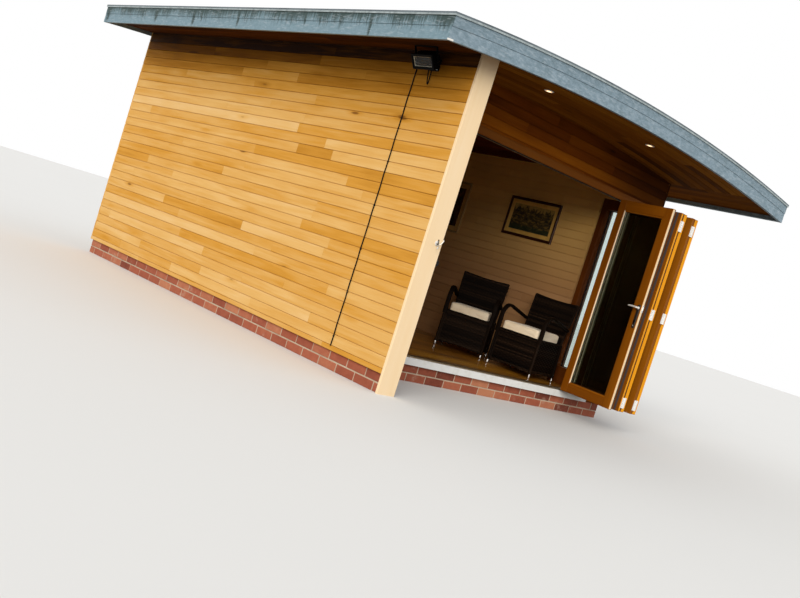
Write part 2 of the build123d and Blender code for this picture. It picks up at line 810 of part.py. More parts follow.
# Every piece in its own file
pieces = {
    "brick_plinth": brick_plinth.part,
    "door_sill": door_sill.part,
    "floor_deck": floor_deck.part,
    "left_wall": left_wall.part,
    "back_wall": back_wall.part,
    "right_wall": right_wall.part,
    "window_lintel": window_lintel.part,
    "corner_pier": corner_pier.part,
    "door_header": door_header.part,
    "wing_end_board": wing_end_board.part,
    "left_cladding": left_cladding.part,
    "wing_lining": wing_lining.part,
    "back_cladding": back_cladding.part,
    "right_cladding": right_cladding.part,
    "front_cladding": front_cladding.part,
    "room_lining": room_lining.part,
    "roof_deck": roof_deck.part,
    "roof_covering": roof_covering.part,
    "roof_edge_trim": roof_edge_trim.part,
    "front_fascia": front_fascia.part,
    "back_fascia": back_fascia.part,
    "side_fascias": side_fascias.part,
    "veranda_soffit": veranda_soffit.part,
    "side_soffits": side_soffits.part,
    "room_ceiling": room_ceiling.part,
    "ceiling_cornice": ceiling_cornice.part,
    "door_frame": door_frame.part,
    "door_glass": door_glass.part,
    "door_hinges": door_hinges.part,
    "door_handle": door_handle.part,
    "side_window_frame": side_window_frame.part,
    "side_window_glass": side_window_glass.part,
    "downlights": downlights.part,
    "flood_light": flood_light.part,
    "flood_light_cable": flood_light_cable.part,
    "wall_hook": wall_hook.part,
    "wall_pictures": wall_pictures.part,
    "chair_cushions": chair_cushions.part,
}
for number, leaf in enumerate(leaves, start=1):
    pieces[f"door_leaf_{number}"] = leaf
for number, chair_place in enumerate(chair_places, start=1):
    pieces[f"armchair_{number}"] = armchair(*chair_place)

os.makedirs("parts", exist_ok=True)
for name, piece in pieces.items():
    piece.label = name
    export_step(piece, f"parts/{name}.step")
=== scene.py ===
import math
import random

import bmesh
import bpy
from mathutils import Matrix, Vector
from mathutils.kdtree import KDTree


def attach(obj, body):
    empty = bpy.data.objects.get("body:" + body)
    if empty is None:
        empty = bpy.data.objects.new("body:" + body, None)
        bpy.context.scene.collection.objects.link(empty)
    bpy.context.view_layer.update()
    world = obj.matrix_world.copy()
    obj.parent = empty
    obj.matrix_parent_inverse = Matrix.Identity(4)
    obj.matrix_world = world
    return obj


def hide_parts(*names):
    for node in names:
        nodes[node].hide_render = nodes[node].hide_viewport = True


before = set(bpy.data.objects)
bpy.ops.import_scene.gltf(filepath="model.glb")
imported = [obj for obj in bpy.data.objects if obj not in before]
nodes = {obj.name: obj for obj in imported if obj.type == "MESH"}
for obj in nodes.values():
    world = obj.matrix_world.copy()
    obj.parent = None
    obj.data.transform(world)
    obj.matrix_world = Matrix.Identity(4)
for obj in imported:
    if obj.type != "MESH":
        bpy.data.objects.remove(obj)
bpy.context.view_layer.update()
print("frame loaded,", len(nodes), "nodes")

# the pod's own sizes in metres, as the frame has them
pod = {
    "wall": 1.84, "stud": 0.13, "board": 0.02,
    "brickFace": -1.73, "wingFront": -2.5, "back": 2.67,
    "plinth": 0.142, "sill": 0.202, "floor": 0.205,
    "roofHalf": 2.37, "roofFront": -2.71, "roofBack": 2.71,
    "eave": 2.385, "rise": 0.138, "fascia": 0.035, "soffit": 0.037, "deck": 0.052,
    "doorTop": 2.119, "frameTop": 2.189, "headerBack": -1.6, "windowBack": -1.108,
    "frameLeft": -1.67, "frameRight": 1.56, "jamb": 0.045,
}
outer = pod["wall"]
studOut = outer - pod["board"]
studIn = studOut - pod["stud"]
roomHalf = studIn - pod["board"]
studBack = pod["back"] - pod["board"]
roomBack = studBack - pod["stud"] - pod["board"]
roofRadius = (pod["roofHalf"] ** 2 + pod["rise"] ** 2) / (2 * pod["rise"])


def arch(x):
    # underside of the fascia above the ground
    return pod["eave"] + pod["rise"] - roofRadius + math.sqrt(roofRadius ** 2 - x * x)


# camera, at the photograph's place and tilt
view = {
    "place": (-6.4431, -7.5058, 0.9708),
    "right": (0.71467, -0.63177, 0.30021),
    "up": (-0.19564, 0.23152, 0.95295),
    "back": (-0.67155, -0.73978, 0.04186),
    "lens": 43.78, "sensor": 36, "far": 200,
}
camera = bpy.data.objects.new("camera", bpy.data.cameras.new("camera"))
bpy.context.scene.collection.objects.link(camera)
axes = Matrix((view["right"], view["up"], view["back"])).transposed()
camera.matrix_world = Matrix.Translation(view["place"]) @ axes.to_4x4()
camera.data.sensor_width = view["sensor"]
camera.data.lens = view["lens"]
camera.data.clip_end = view["far"]
bpy.context.scene.camera = camera
print("camera set")


# shader helpers
def paint(chart, alpha=1.0):
    # a colour as a paint chart writes it, in linear values
    parts = [int(chart[i:i + 2], 16) / 255 for i in (0, 2, 4)]
    return tuple(p / 12.92 if p < 0.04045 else ((p + 0.055) / 1.055) ** 2.4 for p in parts) + (alpha,)


class Wire:
    # one socket's output, ready for sums
    def __init__(self, finish, socket):
        self.finish, self.socket = finish, socket

    def __add__(self, other):
        return self.finish.math("ADD", self, other)

    def __radd__(self, other):
        return self.finish.math("ADD", other, self)

    def __sub__(self, other):
        return self.finish.math("SUBTRACT", self, other)

    def __rsub__(self, other):
        return self.finish.math("SUBTRACT", other, self)

    def __mul__(self, other):
        return self.finish.math("MULTIPLY", self, other)

    def __rmul__(self, other):
        return self.finish.math("MULTIPLY", other, self)


class Finish:
    # one material: its shader's plain values are given by name
    def __init__(self, name, **plain):
        self.material = bpy.data.materials.new(name)
        self.material.use_nodes = True
        self.tree = self.material.node_tree
        self.shader = self.tree.nodes["Principled BSDF"]
        for key, value in plain.items():
            self.shader.inputs[key.replace("_", " ")].default_value = value

    def put(self, kind, settings=None, values=None, out=0):
        # a new node with its settings and its inputs, plain or wired; gives one of its outputs
        node = self.tree.nodes.new(kind)
        for key, value in (settings or {}).items():
            if key == "stops":
                ramp = node.color_ramp
                ramp.elements.remove(ramp.elements[1])
                ramp.elements[0].position, ramp.elements[0].color = value[0]
                for at, shade in value[1:]:
                    ramp.elements.new(at).color = shade
            else:
                setattr(node, key, value)
        pairs = values.items() if isinstance(values, dict) else enumerate(values or [])
        for key, value in pairs:
            if isinstance(value, Wire):
                self.tree.links.new(value.socket, node.inputs[key])
            else:
                node.inputs[key].default_value = value
        return Wire(self, node.outputs[out])

    def math(self, operation, *values):
        return self.put("ShaderNodeMath", {"operation": operation}, values)

    def mix(self, share, low, high):
        # low and high are sockets, or colours as on a chart
        low, high = [paint(shade) if isinstance(shade, str) else shade for shade in (low, high)]
        return self.put("ShaderNodeMix", {"data_type": "RGBA"}, {0: share, 6: low, 7: high}, 2)

    def stretch(self, vector, amounts):
        return self.put("ShaderNodeVectorMath", {"operation": "MULTIPLY"}, [vector, amounts])

    def noise(self, vector, scale, detail=2.0, rough=0.5, twist=0.0):
        values = {"Vector": vector, "Scale": scale, "Detail": detail, "Roughness": rough, "Distortion": twist}
        return self.put("ShaderNodeTexNoise", {"noise_dimensions": "3D"}, values)

    def cells(self, vector, scale, out="Distance", feature="F1"):
        # random cells; the distance is from a cell's own point
        return self.put("ShaderNodeTexVoronoi", {"feature": feature}, {"Vector": vector, "Scale": scale}, out)

    def fade(self, value, low, high, start=0.0, end=1.0):
        # smooth step from start to end
        values = {"Value": value, "From Min": low, "From Max": high, "To Min": start, "To Max": end}
        return self.put("ShaderNodeMapRange", {"interpolation_type": "SMOOTHSTEP"}, values)

    def ramp(self, value, *stops):
        # each stop is a place from 0 to 1 and a colour as on a chart
        return self.put("ShaderNodeValToRGB", {"stops": [(at, paint(shade)) for at, shade in stops]}, [value])

    def board(self):
        # the run of a board's grain and how light the board is, as its mesh carries them
        return [self.put("ShaderNodeAttribute", {"attribute_name": name}, out=out)
                for name, out in (("grain", "Vector"), ("tone", "Fac"))]

    def position(self):
        return self.put("ShaderNodeNewGeometry", out="Position")

    def parts(self, vector):
        # x, y and z of a vector
        first = self.put("ShaderNodeSeparateXYZ", None, [vector])
        return [Wire(self, socket) for socket in first.socket.node.outputs]

    def link(self, **wires):
        for key, wire in wires.items():
            self.tree.links.new(wire.socket, self.shader.inputs[key.replace("_", " ")])
        return self.material

    def surface(self, colour, rough, height, relief):
        # colour and roughness, with a bump as deep as relief
        bump = self.put("ShaderNodeBump", None, {"Strength": 1.0, "Distance": relief, "Height": height})
        return self.link(Base_Color=colour, Roughness=rough, Normal=bump)


# finishes
woodScale = {
    "fibre": (3.0, 150.0, 150.0), "figure": (1.1, 17.0, 17.0), "cloud": (1.6, 4.0, 4.0),
    "knot": (1.5, 6.5, 0.0),
}


def woodFinish(name, look):
    # sawn or planed timber, its grain running along each board's own length
    finish = Finish(name, Coat_Roughness=0.3, Coat_Weight=look["coat"], Specular_IOR_Level=look["gloss"])
    if "along" in look:
        axes = finish.parts(finish.position())
        order = [axes[(look["along"] + i) % 3] for i in range(3)]
        grain, tone = finish.put("ShaderNodeCombineXYZ", None, order), 0.5
    else:
        grain, tone = finish.board()
    fibre = finish.noise(finish.stretch(grain, woodScale["fibre"]), 1.0, 4.0, 0.65)
    figure = finish.noise(finish.stretch(grain, woodScale["figure"]), 1.0, 3.0, 0.55, 0.8)
    cloud = finish.noise(finish.stretch(grain, woodScale["cloud"]), 1.0, 2.0)
    # a knot in some of the cells, with a darker ring round it
    spot = finish.stretch(grain, woodScale["knot"])
    near = finish.cells(spot, 1.0)
    chance = finish.fade(finish.cells(spot, 1.0, "Color"), 0.6, 0.62) * look["knots"]
    knot = finish.fade(near, 0.1, 0.035) * chance
    halo = finish.fade(near, 0.24, 0.06) * chance
    level = (tone + (figure - 0.5) * look["figure"] + (fibre - 0.5) * look["fibre"]
             + (cloud - 0.5) * look["cloud"])
    last = len(look["shades"]) - 1
    colour = finish.ramp(level - halo * 0.12, *[(i / last, shade) for i, shade in enumerate(look["shades"])])
    colour = finish.mix(knot, colour, look["knot"])
    if "dim" in look:
        # shade that deepens to the right, where the roof is low
        start, end, share = look["dim"]
        shade = finish.fade(finish.parts(finish.position())[0], start, end) * share
        colour = finish.mix(shade, colour, "180902")
    height = fibre * 0.5 + figure * 0.3 + (1 - knot) * 0.2
    return finish.surface(colour, look["rough"] + (fibre - 0.5) * 0.18, height, look["relief"])


# what a timber has unless its own line below says otherwise
timber = {
    "figure": 0.4, "fibre": 0.3, "cloud": 0.3, "rough": 0.7, "knots": 0.0, "knot": "3a2010",
    "coat": 0.0, "gloss": 0.1, "relief": 0.0006,
}
darkBrowns = ["381608", "56260c", "703412", "884618"]
sawn = {"shades": ["8a6a44", "a98a5f", "c2a577"], "fibre": 0.25, "rough": 0.8, "knots": 0.5}
timbers = {
    # the cedar's darkest stop serves the painted shade under the left wall's eave
    "cedar": {"shades": ["2a1203", "84500c", "b4761a", "d6983a", "e6b66c", "f0cb92", "f8deb4"],
              "figure": 0.27, "fibre": 0.15, "cloud": 0.2, "knots": 0.75, "knot": "6b3a12"},
    # shadeCedar and the soffit's cedar are the cedar made darker and redder: painted shade for boards under
    # the roof
    "shadeCedar": {"shades": ["2e1202", "562704", "803f07", "a25a0e", "be781c"], "dim": (0.1, 1.7, 0.68),
                   "fibre": 0.24, "cloud": 0.24, "rough": 0.75, "knots": 0.7, "knot": "2a1206",
                   "gloss": 0.04},
    "soffitCedar": {"shades": ["2a1202", "4a2504", "6a3a08", "88500e", "a66b1c"], "figure": 0.36,
                    "fibre": 0.22, "cloud": 0.22, "rough": 0.85, "knots": 0.6, "knot": "1e0c04",
                    "gloss": 0.03},
    "ceiling": {"shades": darkBrowns, "figure": 0.5, "knots": 0.4},
    "cornice": {"shades": darkBrowns, "figure": 0.5, "knots": 0.2, "along": 1},
    "paleTimber": {"shades": ["e8bf88", "f5d3a0", "fbdfb6", "feeace"],
                   "figure": 0.3, "fibre": 0.16, "rough": 0.6, "knots": 0.3, "knot": "a9825a"},
    "joinery": {"shades": ["4e2402", "703904", "8c500a", "a86a16"], "figure": 0.42,
                "fibre": 0.26, "cloud": 0.2, "rough": 0.5, "coat": 0.02, "relief": 0.0003, "gloss": 0.06},
    # edgeWood and paleBead are the joinery made bright: painted sunlight on the leaves' edges, and on the
    # beads painted reflection
    "edgeWood": {"shades": ["cc800a", "ec9c10", "fab21a"], "figure": 0.3, "rough": 0.5, "coat": 0.05,
                 "relief": 0.0003},
    "paleBead": {"shades": ["e0bc86", "f0d4ac", "fae8cc"], "figure": 0.3, "rough": 0.4, "coat": 0.1,
                 "relief": 0.0002},
    "darkJoinery": {"shades": ["3a1a06", "5c2d0a", "7c4210"],
                    "figure": 0.45, "cloud": 0.25, "rough": 0.45, "coat": 0.06, "relief": 0.0003},
    "floorBoards": {"shades": ["5a2e05", "84500c", "aa6e14", "cc9020"], "figure": 0.42,
                    "fibre": 0.25, "cloud": 0.25, "rough": 0.25, "knots": 0.2, "coat": 0.8, "relief": 0.0003},
    "pictureWood": {"shades": ["230f08", "3a1b0c", "4f2912"],
                    "cloud": 0.2, "rough": 0.35, "coat": 0.4, "relief": 0.0002},
    "goldWood": {"shades": ["9c7c4a", "b8975f", "cdb07a"], "cloud": 0.2, "rough": 0.4, "relief": 0.0002},
    "framingX": {**sawn, "along": 0}, "framingY": {**sawn, "along": 1}, "framingZ": {**sawn, "along": 2},
}
finishes = {name: woodFinish(name, {**timber, **look}) for name, look in timbers.items()}


def whiteBoardFinish(name):
    # painted boards, with the room's warm light painted into their colour and painted light making them paler
    # towards the ceiling
    finish = Finish(name, Specular_IOR_Level=0.2)
    grain, tone = finish.board()
    brush = finish.noise(finish.stretch(grain, (2.0, 60.0, 60.0)), 1.0, 3.0)
    haze = finish.noise(finish.position(), 1.4, 3.0)
    # painted light: paler higher up the wall
    high = finish.fade(finish.parts(finish.position())[2], 0.9, 2.2)
    shade = finish.mix(high, finish.mix(tone, "a2744a", "b8885c"), finish.mix(tone, "f0bb64", "fed07a"))
    shade = finish.mix(finish.fade(haze, 0.35, 0.75, 0.0, 0.3), shade, "a88450")
    return finish.surface(shade, 0.42 + brush * 0.16, brush, 0.0004)


def brickFinish(name):
    # sanded and pitted, with pale bloom in patches
    finish = Finish(name)
    grain, tone = finish.board()
    sand = finish.noise(grain, 260.0, 5.0, 0.7)
    patch = finish.noise(grain, 14.0, 3.0, 0.6)
    pits = finish.cells(grain, 120.0)
    level = tone + (patch - 0.5) * 0.5 + (sand - 0.5) * 0.25
    colour = finish.ramp(level, (0.0, "70321f"), (0.3, "914830"), (0.6, "a85a3e"), (1.0, "bf7c58"))
    bloom = finish.noise(finish.position(), 7.0, 4.0, 0.65)
    colour = finish.mix(finish.fade(bloom, 0.58, 0.74) * 0.4, colour, "c9ad94")
    height = sand * 0.6 + patch * 0.6 + finish.fade(pits, 0.05, 0.25) * 0.5
    return finish.surface(colour, 0.8 + sand * 0.15, height, 0.003)


def mortarFinish(name):
    # sandy, stained in patches
    finish = Finish(name)
    place = finish.position()
    sand = finish.noise(place, 380.0, 4.0, 0.7)
    stain = finish.noise(place, 6.0, 4.0, 0.6)
    colour = finish.ramp(stain + (sand - 0.5) * 0.3, (0.2, "94826f"), (0.5, "bda88f"), (0.8, "d3c2aa"))
    return finish.surface(colour, 0.9 + sand * 0.1, sand, 0.002)


fasciaLook = {
    "shades": ((0.3, "6c8089"), (0.5, "8094a0"), (0.7, "97a9b4")), "leftTint": "6f8c96",
    # runs of dirt on the left side: place, half width, share of the height
    "drips": ((2.646, 0.03, 0.9), (1.532, 0.02, 0.75), (0.77, 0.024, 0.85), (0.621, 0.014, 0.6),
              (-0.021, 0.018, 0.8), (-1.027, 0.014, 0.6), (-1.856, 0.016, 0.95)),
}


def fasciaFinish(name):
    # grey covering turned down over the roof edge, with runs of green black dirt
    finish = Finish(name, Specular_IOR_Level=0.3)
    place = finish.position()
    x, y, z = finish.parts(place)
    hang = z - (pod["eave"] + pod["rise"]) + x * x * (1 / (2 * roofRadius))  # 0 at the bottom edge
    rise = hang * (1 / 0.173)
    runs = finish.put("ShaderNodeCombineXYZ", None, [x + y, hang * 0.9, 0.0])
    fine = finish.noise(finish.stretch(runs, (38.0, 1.2, 1.0)), 1.0, 5.0, 0.8)
    wide = finish.noise(finish.stretch(runs, (4.5, 1.0, 1.0)), 1.0, 3.0, 0.6)
    mottle = finish.noise(finish.stretch(place, (1.0, 1.0, 2.0)), 22.0, 5.0, 0.7)
    speck = finish.noise(place, 160.0, 3.0, 0.6)
    left = finish.fade(x, -2.36, -2.366)
    side = left + finish.fade(x, 2.36, 2.366)
    strong = 0.12 + side * 0.88
    drip = finish.fade(rise + (fine - 0.5) * 2.2 + (wide - 0.5) * 1.3, 0.36, 0.96) * strong
    waver = y + (fine - 0.5) * 0.05
    for at, half, length in fasciaLook["drips"]:
        off = finish.math("ABSOLUTE", waver - at)
        inside = finish.fade(off - rise * half, half * 1.2, 0.0)
        run = inside * finish.fade(rise + (fine - 0.5) * 0.6, 0.8 - length, 1.1 - length)
        drip = finish.math("MAXIMUM", drip, run * left)
    base = finish.ramp(mottle, *fasciaLook["shades"])
    base = finish.mix(left * 0.5, base, fasciaLook["leftTint"])
    base = finish.mix(finish.fade(rise, 0.35, 0.95) * 0.3 * strong, base, "566a68")
    colour = finish.mix(drip * 0.85, base, "24342c")
    crack = finish.fade(finish.noise(finish.stretch(place, (5.0, 5.0, 30.0)), 3.0, 3.0), 0.57, 0.63)
    colour = finish.mix(crack * 0.2, colour, "c3ccd2")
    bare = finish.fade(x, -2.315, -2.322) * finish.fade(y, -2.7, -2.705) * finish.fade(hang, 0.013, 0.009)
    colour = finish.mix(bare, colour, "f4efe8")
    height = mottle * 0.7 + speck * 0.3
    return finish.surface(colour, 0.5 + mottle * 0.25, height, 0.0022)


def membraneFinish(name):
    # roof sheet with dust and moss
    finish = Finish(name)
    place = finish.position()
    dust = finish.noise(place, 2.2, 5.0, 0.6)
    moss = finish.noise(place, 9.0, 6.0, 0.7)
    grit = finish.noise(place, 240.0, 3.0)
    colour = finish.ramp(dust, (0.3, "4c555a"), (0.6, "6a757b"), (0.8, "87928f"))
    colour = finish.mix(finish.fade(moss, 0.58, 0.72) * 0.5, colour, "444d33")
    return finish.surface(colour, 0.7 + grit * 0.2, grit * 0.4 + moss, 0.003)


def trimFinish(name):
    # weathered drip edge
    finish = Finish(name, Metallic=0.6)
    place = finish.position()
    wear = finish.noise(place, 18.0, 5.0, 0.7)
    colour = finish.ramp(wear, (0.35, "8a9494"), (0.55, "a9b3b3"), (0.75, "bcc5c6"))
    return finish.surface(colour, 0.35 + wear * 0.3, wear, 0.0008)


def paintFinish(name, clean, dirty, rough, share, gloss=0.4):
    # brushed paint or rubber, dirty in patches
    finish = Finish(name, Specular_IOR_Level=gloss)
    place = finish.position()
    grime = finish.noise(place, 11.0, 5.0, 0.65)
    brush = finish.noise(finish.stretch(place, (3.0, 3.0, 90.0)), 2.0, 3.0)
    colour = finish.mix(finish.fade(grime, 0.45, 0.75) * share, clean, dirty)
    return finish.surface(colour, rough + grime * 0.15, brush, 0.0004)


def metalFinish(name, shade, rough, scale=60.0, metallic=1.0):
    # smeared metal, or with metallic 0 a plain bright colour, used for a painted reflection
    finish = Finish(name, Metallic=metallic)
    place = finish.position()
    smear = finish.noise(place, scale, 4.0, 0.6)
    colour = finish.mix(smear, paint(shade), tuple(0.82 * c for c in paint(shade)[:3]) + (1.0,))
    return finish.surface(colour, rough + smear * 0.12, smear, 0.0002)


def glassFinish(name, shade):
    # clear, with a faint film on it
    finish = Finish(name, Transmission_Weight=1.0, IOR=1.46, Base_Color=paint(shade))
    place = finish.position()
    film = finish.noise(place, 5.0, 4.0, 0.6)
    return finish.link(Roughness=finish.fade(film, 0.5, 0.8, 0.0, 0.03))


def lensFinish(name, shade, cover):
    # thin glass that lets all light by except for a share
    finish = Finish(name, Alpha=cover)
    dust = finish.noise(finish.position(), 60.0, 3.0)
    return finish.link(Base_Color=finish.mix(dust, shade, "ffffff"), Roughness=0.05 + dust * 0.1)


def glowFinish(name, shade, strength):
    # lit lamp, or a painted glow round one
    finish = Finish(name, Emission_Strength=strength, Roughness=0.3)
    place = finish.position()
    swirl = finish.noise(place, 400.0, 2.0)
    colour = finish.mix(swirl, shade, "fff4d8")
    return finish.link(Base_Color=colour, Emission_Color=colour)


def rattanFinish(name):
    # dark strands, each with its own tone
    finish = Finish(name, Specular_IOR_Level=0.05)
    grain, tone = finish.board()
    thread = finish.noise(finish.stretch(grain, (12.0, 500.0, 500.0)), 1.0, 3.0)
    level = tone + (thread - 0.5) * 0.5
    colour = finish.ramp(level, (0.1, "040201"), (0.5, "120a05"), (0.9, "2e2015"))
    return finish.surface(colour, 0.5 + thread * 0.25, thread, 0.0003)


def canvasFinish(name):
    # cream cloth with a fine weave, a little soiled
    finish = Finish(name, Sheen_Weight=0.25, Sheen_Roughness=0.6)
    place = finish.position()
    x, y, z = finish.parts(place)
    warp = finish.math("SINE", (x + y * 0.4) * 3400.0)
    weft = finish.math("SINE", (y - x * 0.4 + z * 0.8) * 3400.0)
    slub = finish.noise(place, 320.0, 3.0, 0.6)
    soil = finish.noise(place, 7.0, 4.0, 0.6)
    colour = finish.mix(finish.fade(soil, 0.4, 0.75) * 0.4, "fbe9cb", "ead0a4")
    colour = finish.mix(slub * 0.2, colour, "d0b88e")
    height = warp * 0.25 + weft * 0.25 + slub
    return finish.surface(colour, 0.8 + slub * 0.15, height, 0.0006)


# each kind of finish by name, with its colours as on a chart and its other values
kinds = {
    paintFinish: {
        "whitePaint": ("ebeae6", "cfcabd", 0.4, 0.35), "hingePaint": ("e9e9e6", "c6c4bc", 0.3, 0.3),
        "blackPaint": ("050505", "0e0e0f", 0.5, 0.5, 0.06), "rubber": ("101012", "1e1e20", 0.6, 0.5, 0.15),
        "greySeal": ("4e423e", "352c2c", 0.6, 0.5, 0.1), "cable": ("0b0806", "1a1410", 0.5, 0.5, 0.1),
    },
    metalFinish: {
        "chrome": ("d9dadb", 0.12), "trackMetal": ("8d7a5e", 0.35), "spacerMetal": ("9a9c9e", 0.4),
        "lockMetal": ("2c2622", 0.4, 60.0, 0.4), "leverMetal": ("f6f2ea", 0.3, 60.0, 0.35),
        # the reflector is bright cream, not mirror: painted reflection of the bright outside; its back is
        # darker, painted shade
        "reflector": ("fff8dc", 0.5, 220.0, 0.0), "reflectorBack": ("c4ba84", 0.4, 220.0, 0.3),
        "footMetal": ("e2e2e2", 0.25),
    },
    glassFinish: {"doorGlass": ("e9f1ee",)},
    lensFinish: {"lampGlass": ("c8ccc4", 0.05)},
    glowFinish: {"lampGlow": ("ffcf7c", 1.9), "lampHalo": ("ee8e1c", 0.75)},
    whiteBoardFinish: {"whiteBoards": ()}, brickFinish: {"brick": ()}, mortarFinish: {"mortar": ()},
    fasciaFinish: {"fascia": ()}, membraneFinish: {"membrane": ()}, trimFinish: {"edgeTrim": ()},
    rattanFinish: {"rattan": ()}, canvasFinish: {"canvas": ()},
}
for kind, named in kinds.items():
    for name, values in named.items():
        finishes[name] = kind(name, *values)
print("finishes made,", len(finishes))


# mesh helpers
def held(value, low, high):
    # no less than low, no more than high
    return min(high, max(low, value))


def steps(start, end, count):
    # evenly spaced from start to end
    return [start + (end - start) * k / count for k in range(count + 1)]


def around(count):
    # angles of a full turn
    return [2 * math.pi * k / count for k in range(count)]


def oval(wide, tall, count=24):
    return [(wide / 2 * math.cos(a), tall / 2 * math.sin(a)) for a in around(count)]


def oblong(near, far, low, high):
    return [(near, low), (far, low), (far, high), (near, high)]


def roundedOblong(wide, tall, radius, count):
    # corners rounded off, each in count steps
    spots = []
    w, h = wide / 2 - radius, tall / 2 - radius
    for sx, sy, start in ((1, 1, 0), (-1, 1, 1), (-1, -1, 2), (1, -1, 3)):
        for k in range(count + 1):
            a = math.pi / 2 * (start + k / count)
            spots.append((sx * w + radius * math.cos(a), sy * h + radius * math.sin(a)))
    return spots


def drift(dice, reach):
    # a random start for the grain of a piece
    return dice.uniform(0, reach), dice.uniform(0, reach), 0


class Stock:
    # gathers shapes, each with its own grain, tone and finish, into one object
    def __init__(self, name, *looks):
        self.name, self.looks = name, looks
        self.points, self.grain, self.tone, self.faces, self.which = [], [], [], [], []

    def point(self, spot, grain, tone):
        self.points.append(spot)
        self.grain.append(grain)
        self.tone.append(tone)

    def skin(self, first, rows, count, look, edges=None, capped=True):
        # faces between rows of points; with no caps the last row joins the first
        before = len(self.faces)
        for row in range(rows - 1 if capped else rows):
            a, b = first + row * count, first + (row + 1) % rows * count
            for i in edges or range(count):
                j = (i + 1) % count
                self.faces.append((a + i, a + j, b + j, b + i))
        if capped:
            last = first + (rows - 1) * count
            self.faces.append(tuple(range(first + count - 1, first - 1, -1)))
            self.faces.append(tuple(range(last, last + count)))
        self.which += [look] * (len(self.faces) - before)

    def sweep(self, outline, stations, place, tone=0.5, shift=(0, 0, 0), look=0):
        # an outline, which may change on the way, carried along the stations
        first = len(self.points)
        for u in stations:
            shape = outline(u) if callable(outline) else outline
            for v, w in shape:
                self.point(place(u, v, w), (u + shift[0], v + shift[1], w + shift[2]), tone)
        self.skin(first, len(stations), len(shape), look)

    def ring(self, place, width, height, profile, tone=0.5, shift=(0, 0, 0), look=0):
        # a moulding round a rectangle with mitred corners; its profile's points are (inwards, outwards),
        # and look may be four, one for each side
        for side in range(4):
            across = side % 2
            length = height if across else width
            other = width if across else height
            turn = (1, 0, -1, 0)[side], (0, 1, 0, -1)[side]

            def spot(u, v, w, length=length, other=other, turn=turn):
                s = u * (length / 2 - v)
                d = other / 2 - v
                return place(turn[0] * s + turn[1] * d, turn[1] * s - turn[0] * d, w)

            self.sweep(profile, (-1, 1), spot, tone, (shift[0] + side * 3.1, shift[1], shift[2]),
                       look if isinstance(look, int) else look[side])

    def tube(self, path, radius, sides=10, tone=0.5, look=0, ridge=0.0, squash=1.0):
        # a round bar along points; ridge alternates the radius, as wrapping does
        spots = [Vector(p) for p in path]
        travelled = 0.0
        normal = None
        first = len(self.points)
        for i, spot in enumerate(spots):
            ahead = spots[min(i + 1, len(spots) - 1)] - spots[max(i - 1, 0)]
            ahead.normalize()
            if normal is None:
                normal = ahead.orthogonal().normalized()
            normal = (normal - ahead * normal.dot(ahead)).normalized()
            other = ahead.cross(normal)
            r = radius(i / (len(spots) - 1)) if callable(radius) else radius
            r += ridge * (i % 2)
            if i:
                travelled += (spot - spots[i - 1]).length
            for a in around(sides):
                at = spot + normal * r * math.cos(a) + other * r * squash * math.sin(a)
                self.point(at, (travelled, r * a, 0.0), tone)
        self.skin(first, len(spots), sides, look)

    def loop(self, spots, radius, sides):
        # a round cord joined end to end
        first, count = len(self.points), len(spots)
        for i, spot in enumerate(spots):
            ahead = (spots[(i + 1) % count] - spots[i - 1]).normalized()
            side = ahead.cross(Vector((0, 0, 1))).normalized()
            other = ahead.cross(side)
            for a in around(sides):
                at = spot + side * radius * math.cos(a) + other * radius * math.sin(a)
                self.point(at, (0.01 * i, radius * a, 0.0), 0.5)
        self.skin(first, count, sides, 0, capped=False)

    def lathe(self, profile, centre, sides, look=0):
        # a profile of (radius, level) turned about an upright line and closed on itself
        first, n = len(self.points), len(profile)
        for a in around(sides):
            for r, z in profile:
                r = max(r, 0.00001)
                at = Vector((centre[0] + r * math.cos(a), centre[1] + r * math.sin(a), z))
                self.point(at, (z, r * a, 0.0), 0.5)
        edges = [i for i in range(n) if profile[i][0] or profile[(i + 1) % n][0]]
        self.skin(first, sides, n, look, edges, capped=False)

    def bead(self, centre, radius, look=0):
        # a small round head
        rows, sides = 5, 10
        first, centre = len(self.points), Vector(centre)
        for b in [math.pi * i / rows for i in range(rows + 1)]:
            r = max(math.sin(b), 0.01) * radius
            for a in around(sides):
                spot = centre + Vector((r * math.cos(a), r * math.sin(a), radius * math.cos(b)))
                self.point(spot, (0.0, 0.0, 0.0), 0.5)
        self.skin(first, rows + 1, sides, look)

    def make(self, slot, *stands, smooth=None):
        # the gathered shapes as an object in place of the nodes it stands for
        mesh = bpy.data.meshes.new(self.name)
        mesh.from_pydata([tuple(p) for p in self.points], [], self.faces)
        mesh.polygons.foreach_set("material_index", self.which)
        grain = mesh.attributes.new("grain", "FLOAT_VECTOR", "POINT")
        grain.data.foreach_set("vector", [c for g in self.grain for c in g])
        mesh.attributes.new("tone", "FLOAT", "POINT").data.foreach_set("value", self.tone)
        shape = bmesh.new()
        shape.from_mesh(mesh)
        bmesh.ops.recalc_face_normals(shape, faces=shape.faces)
        shape.to_mesh(mesh)
        shape.free()
        for look in self.looks:
            mesh.materials.append(finishes[look])
        if smooth:
            mesh.shade_smooth()
            mesh.set_sharp_from_angle(angle=math.radians(smooth))
        piece = bpy.data.objects.new(self.name, mesh)
        bpy.context.scene.collection.objects.link(piece)
        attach(piece, "root")
        if stands:
            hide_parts(*stands)


def boardOutline(width, thickness, gap, edge=0.0015):
    # tongued board: full width at the back, a shadow gap beside its face
    step = thickness * 0.45
    gap = min(gap, width * 0.5)
    return [
        (0, 0), (width, 0), (width, step), (width - gap, step), (width - gap, thickness - edge),
        (width - gap - edge, thickness), (edge, thickness), (0, thickness - edge),
    ]


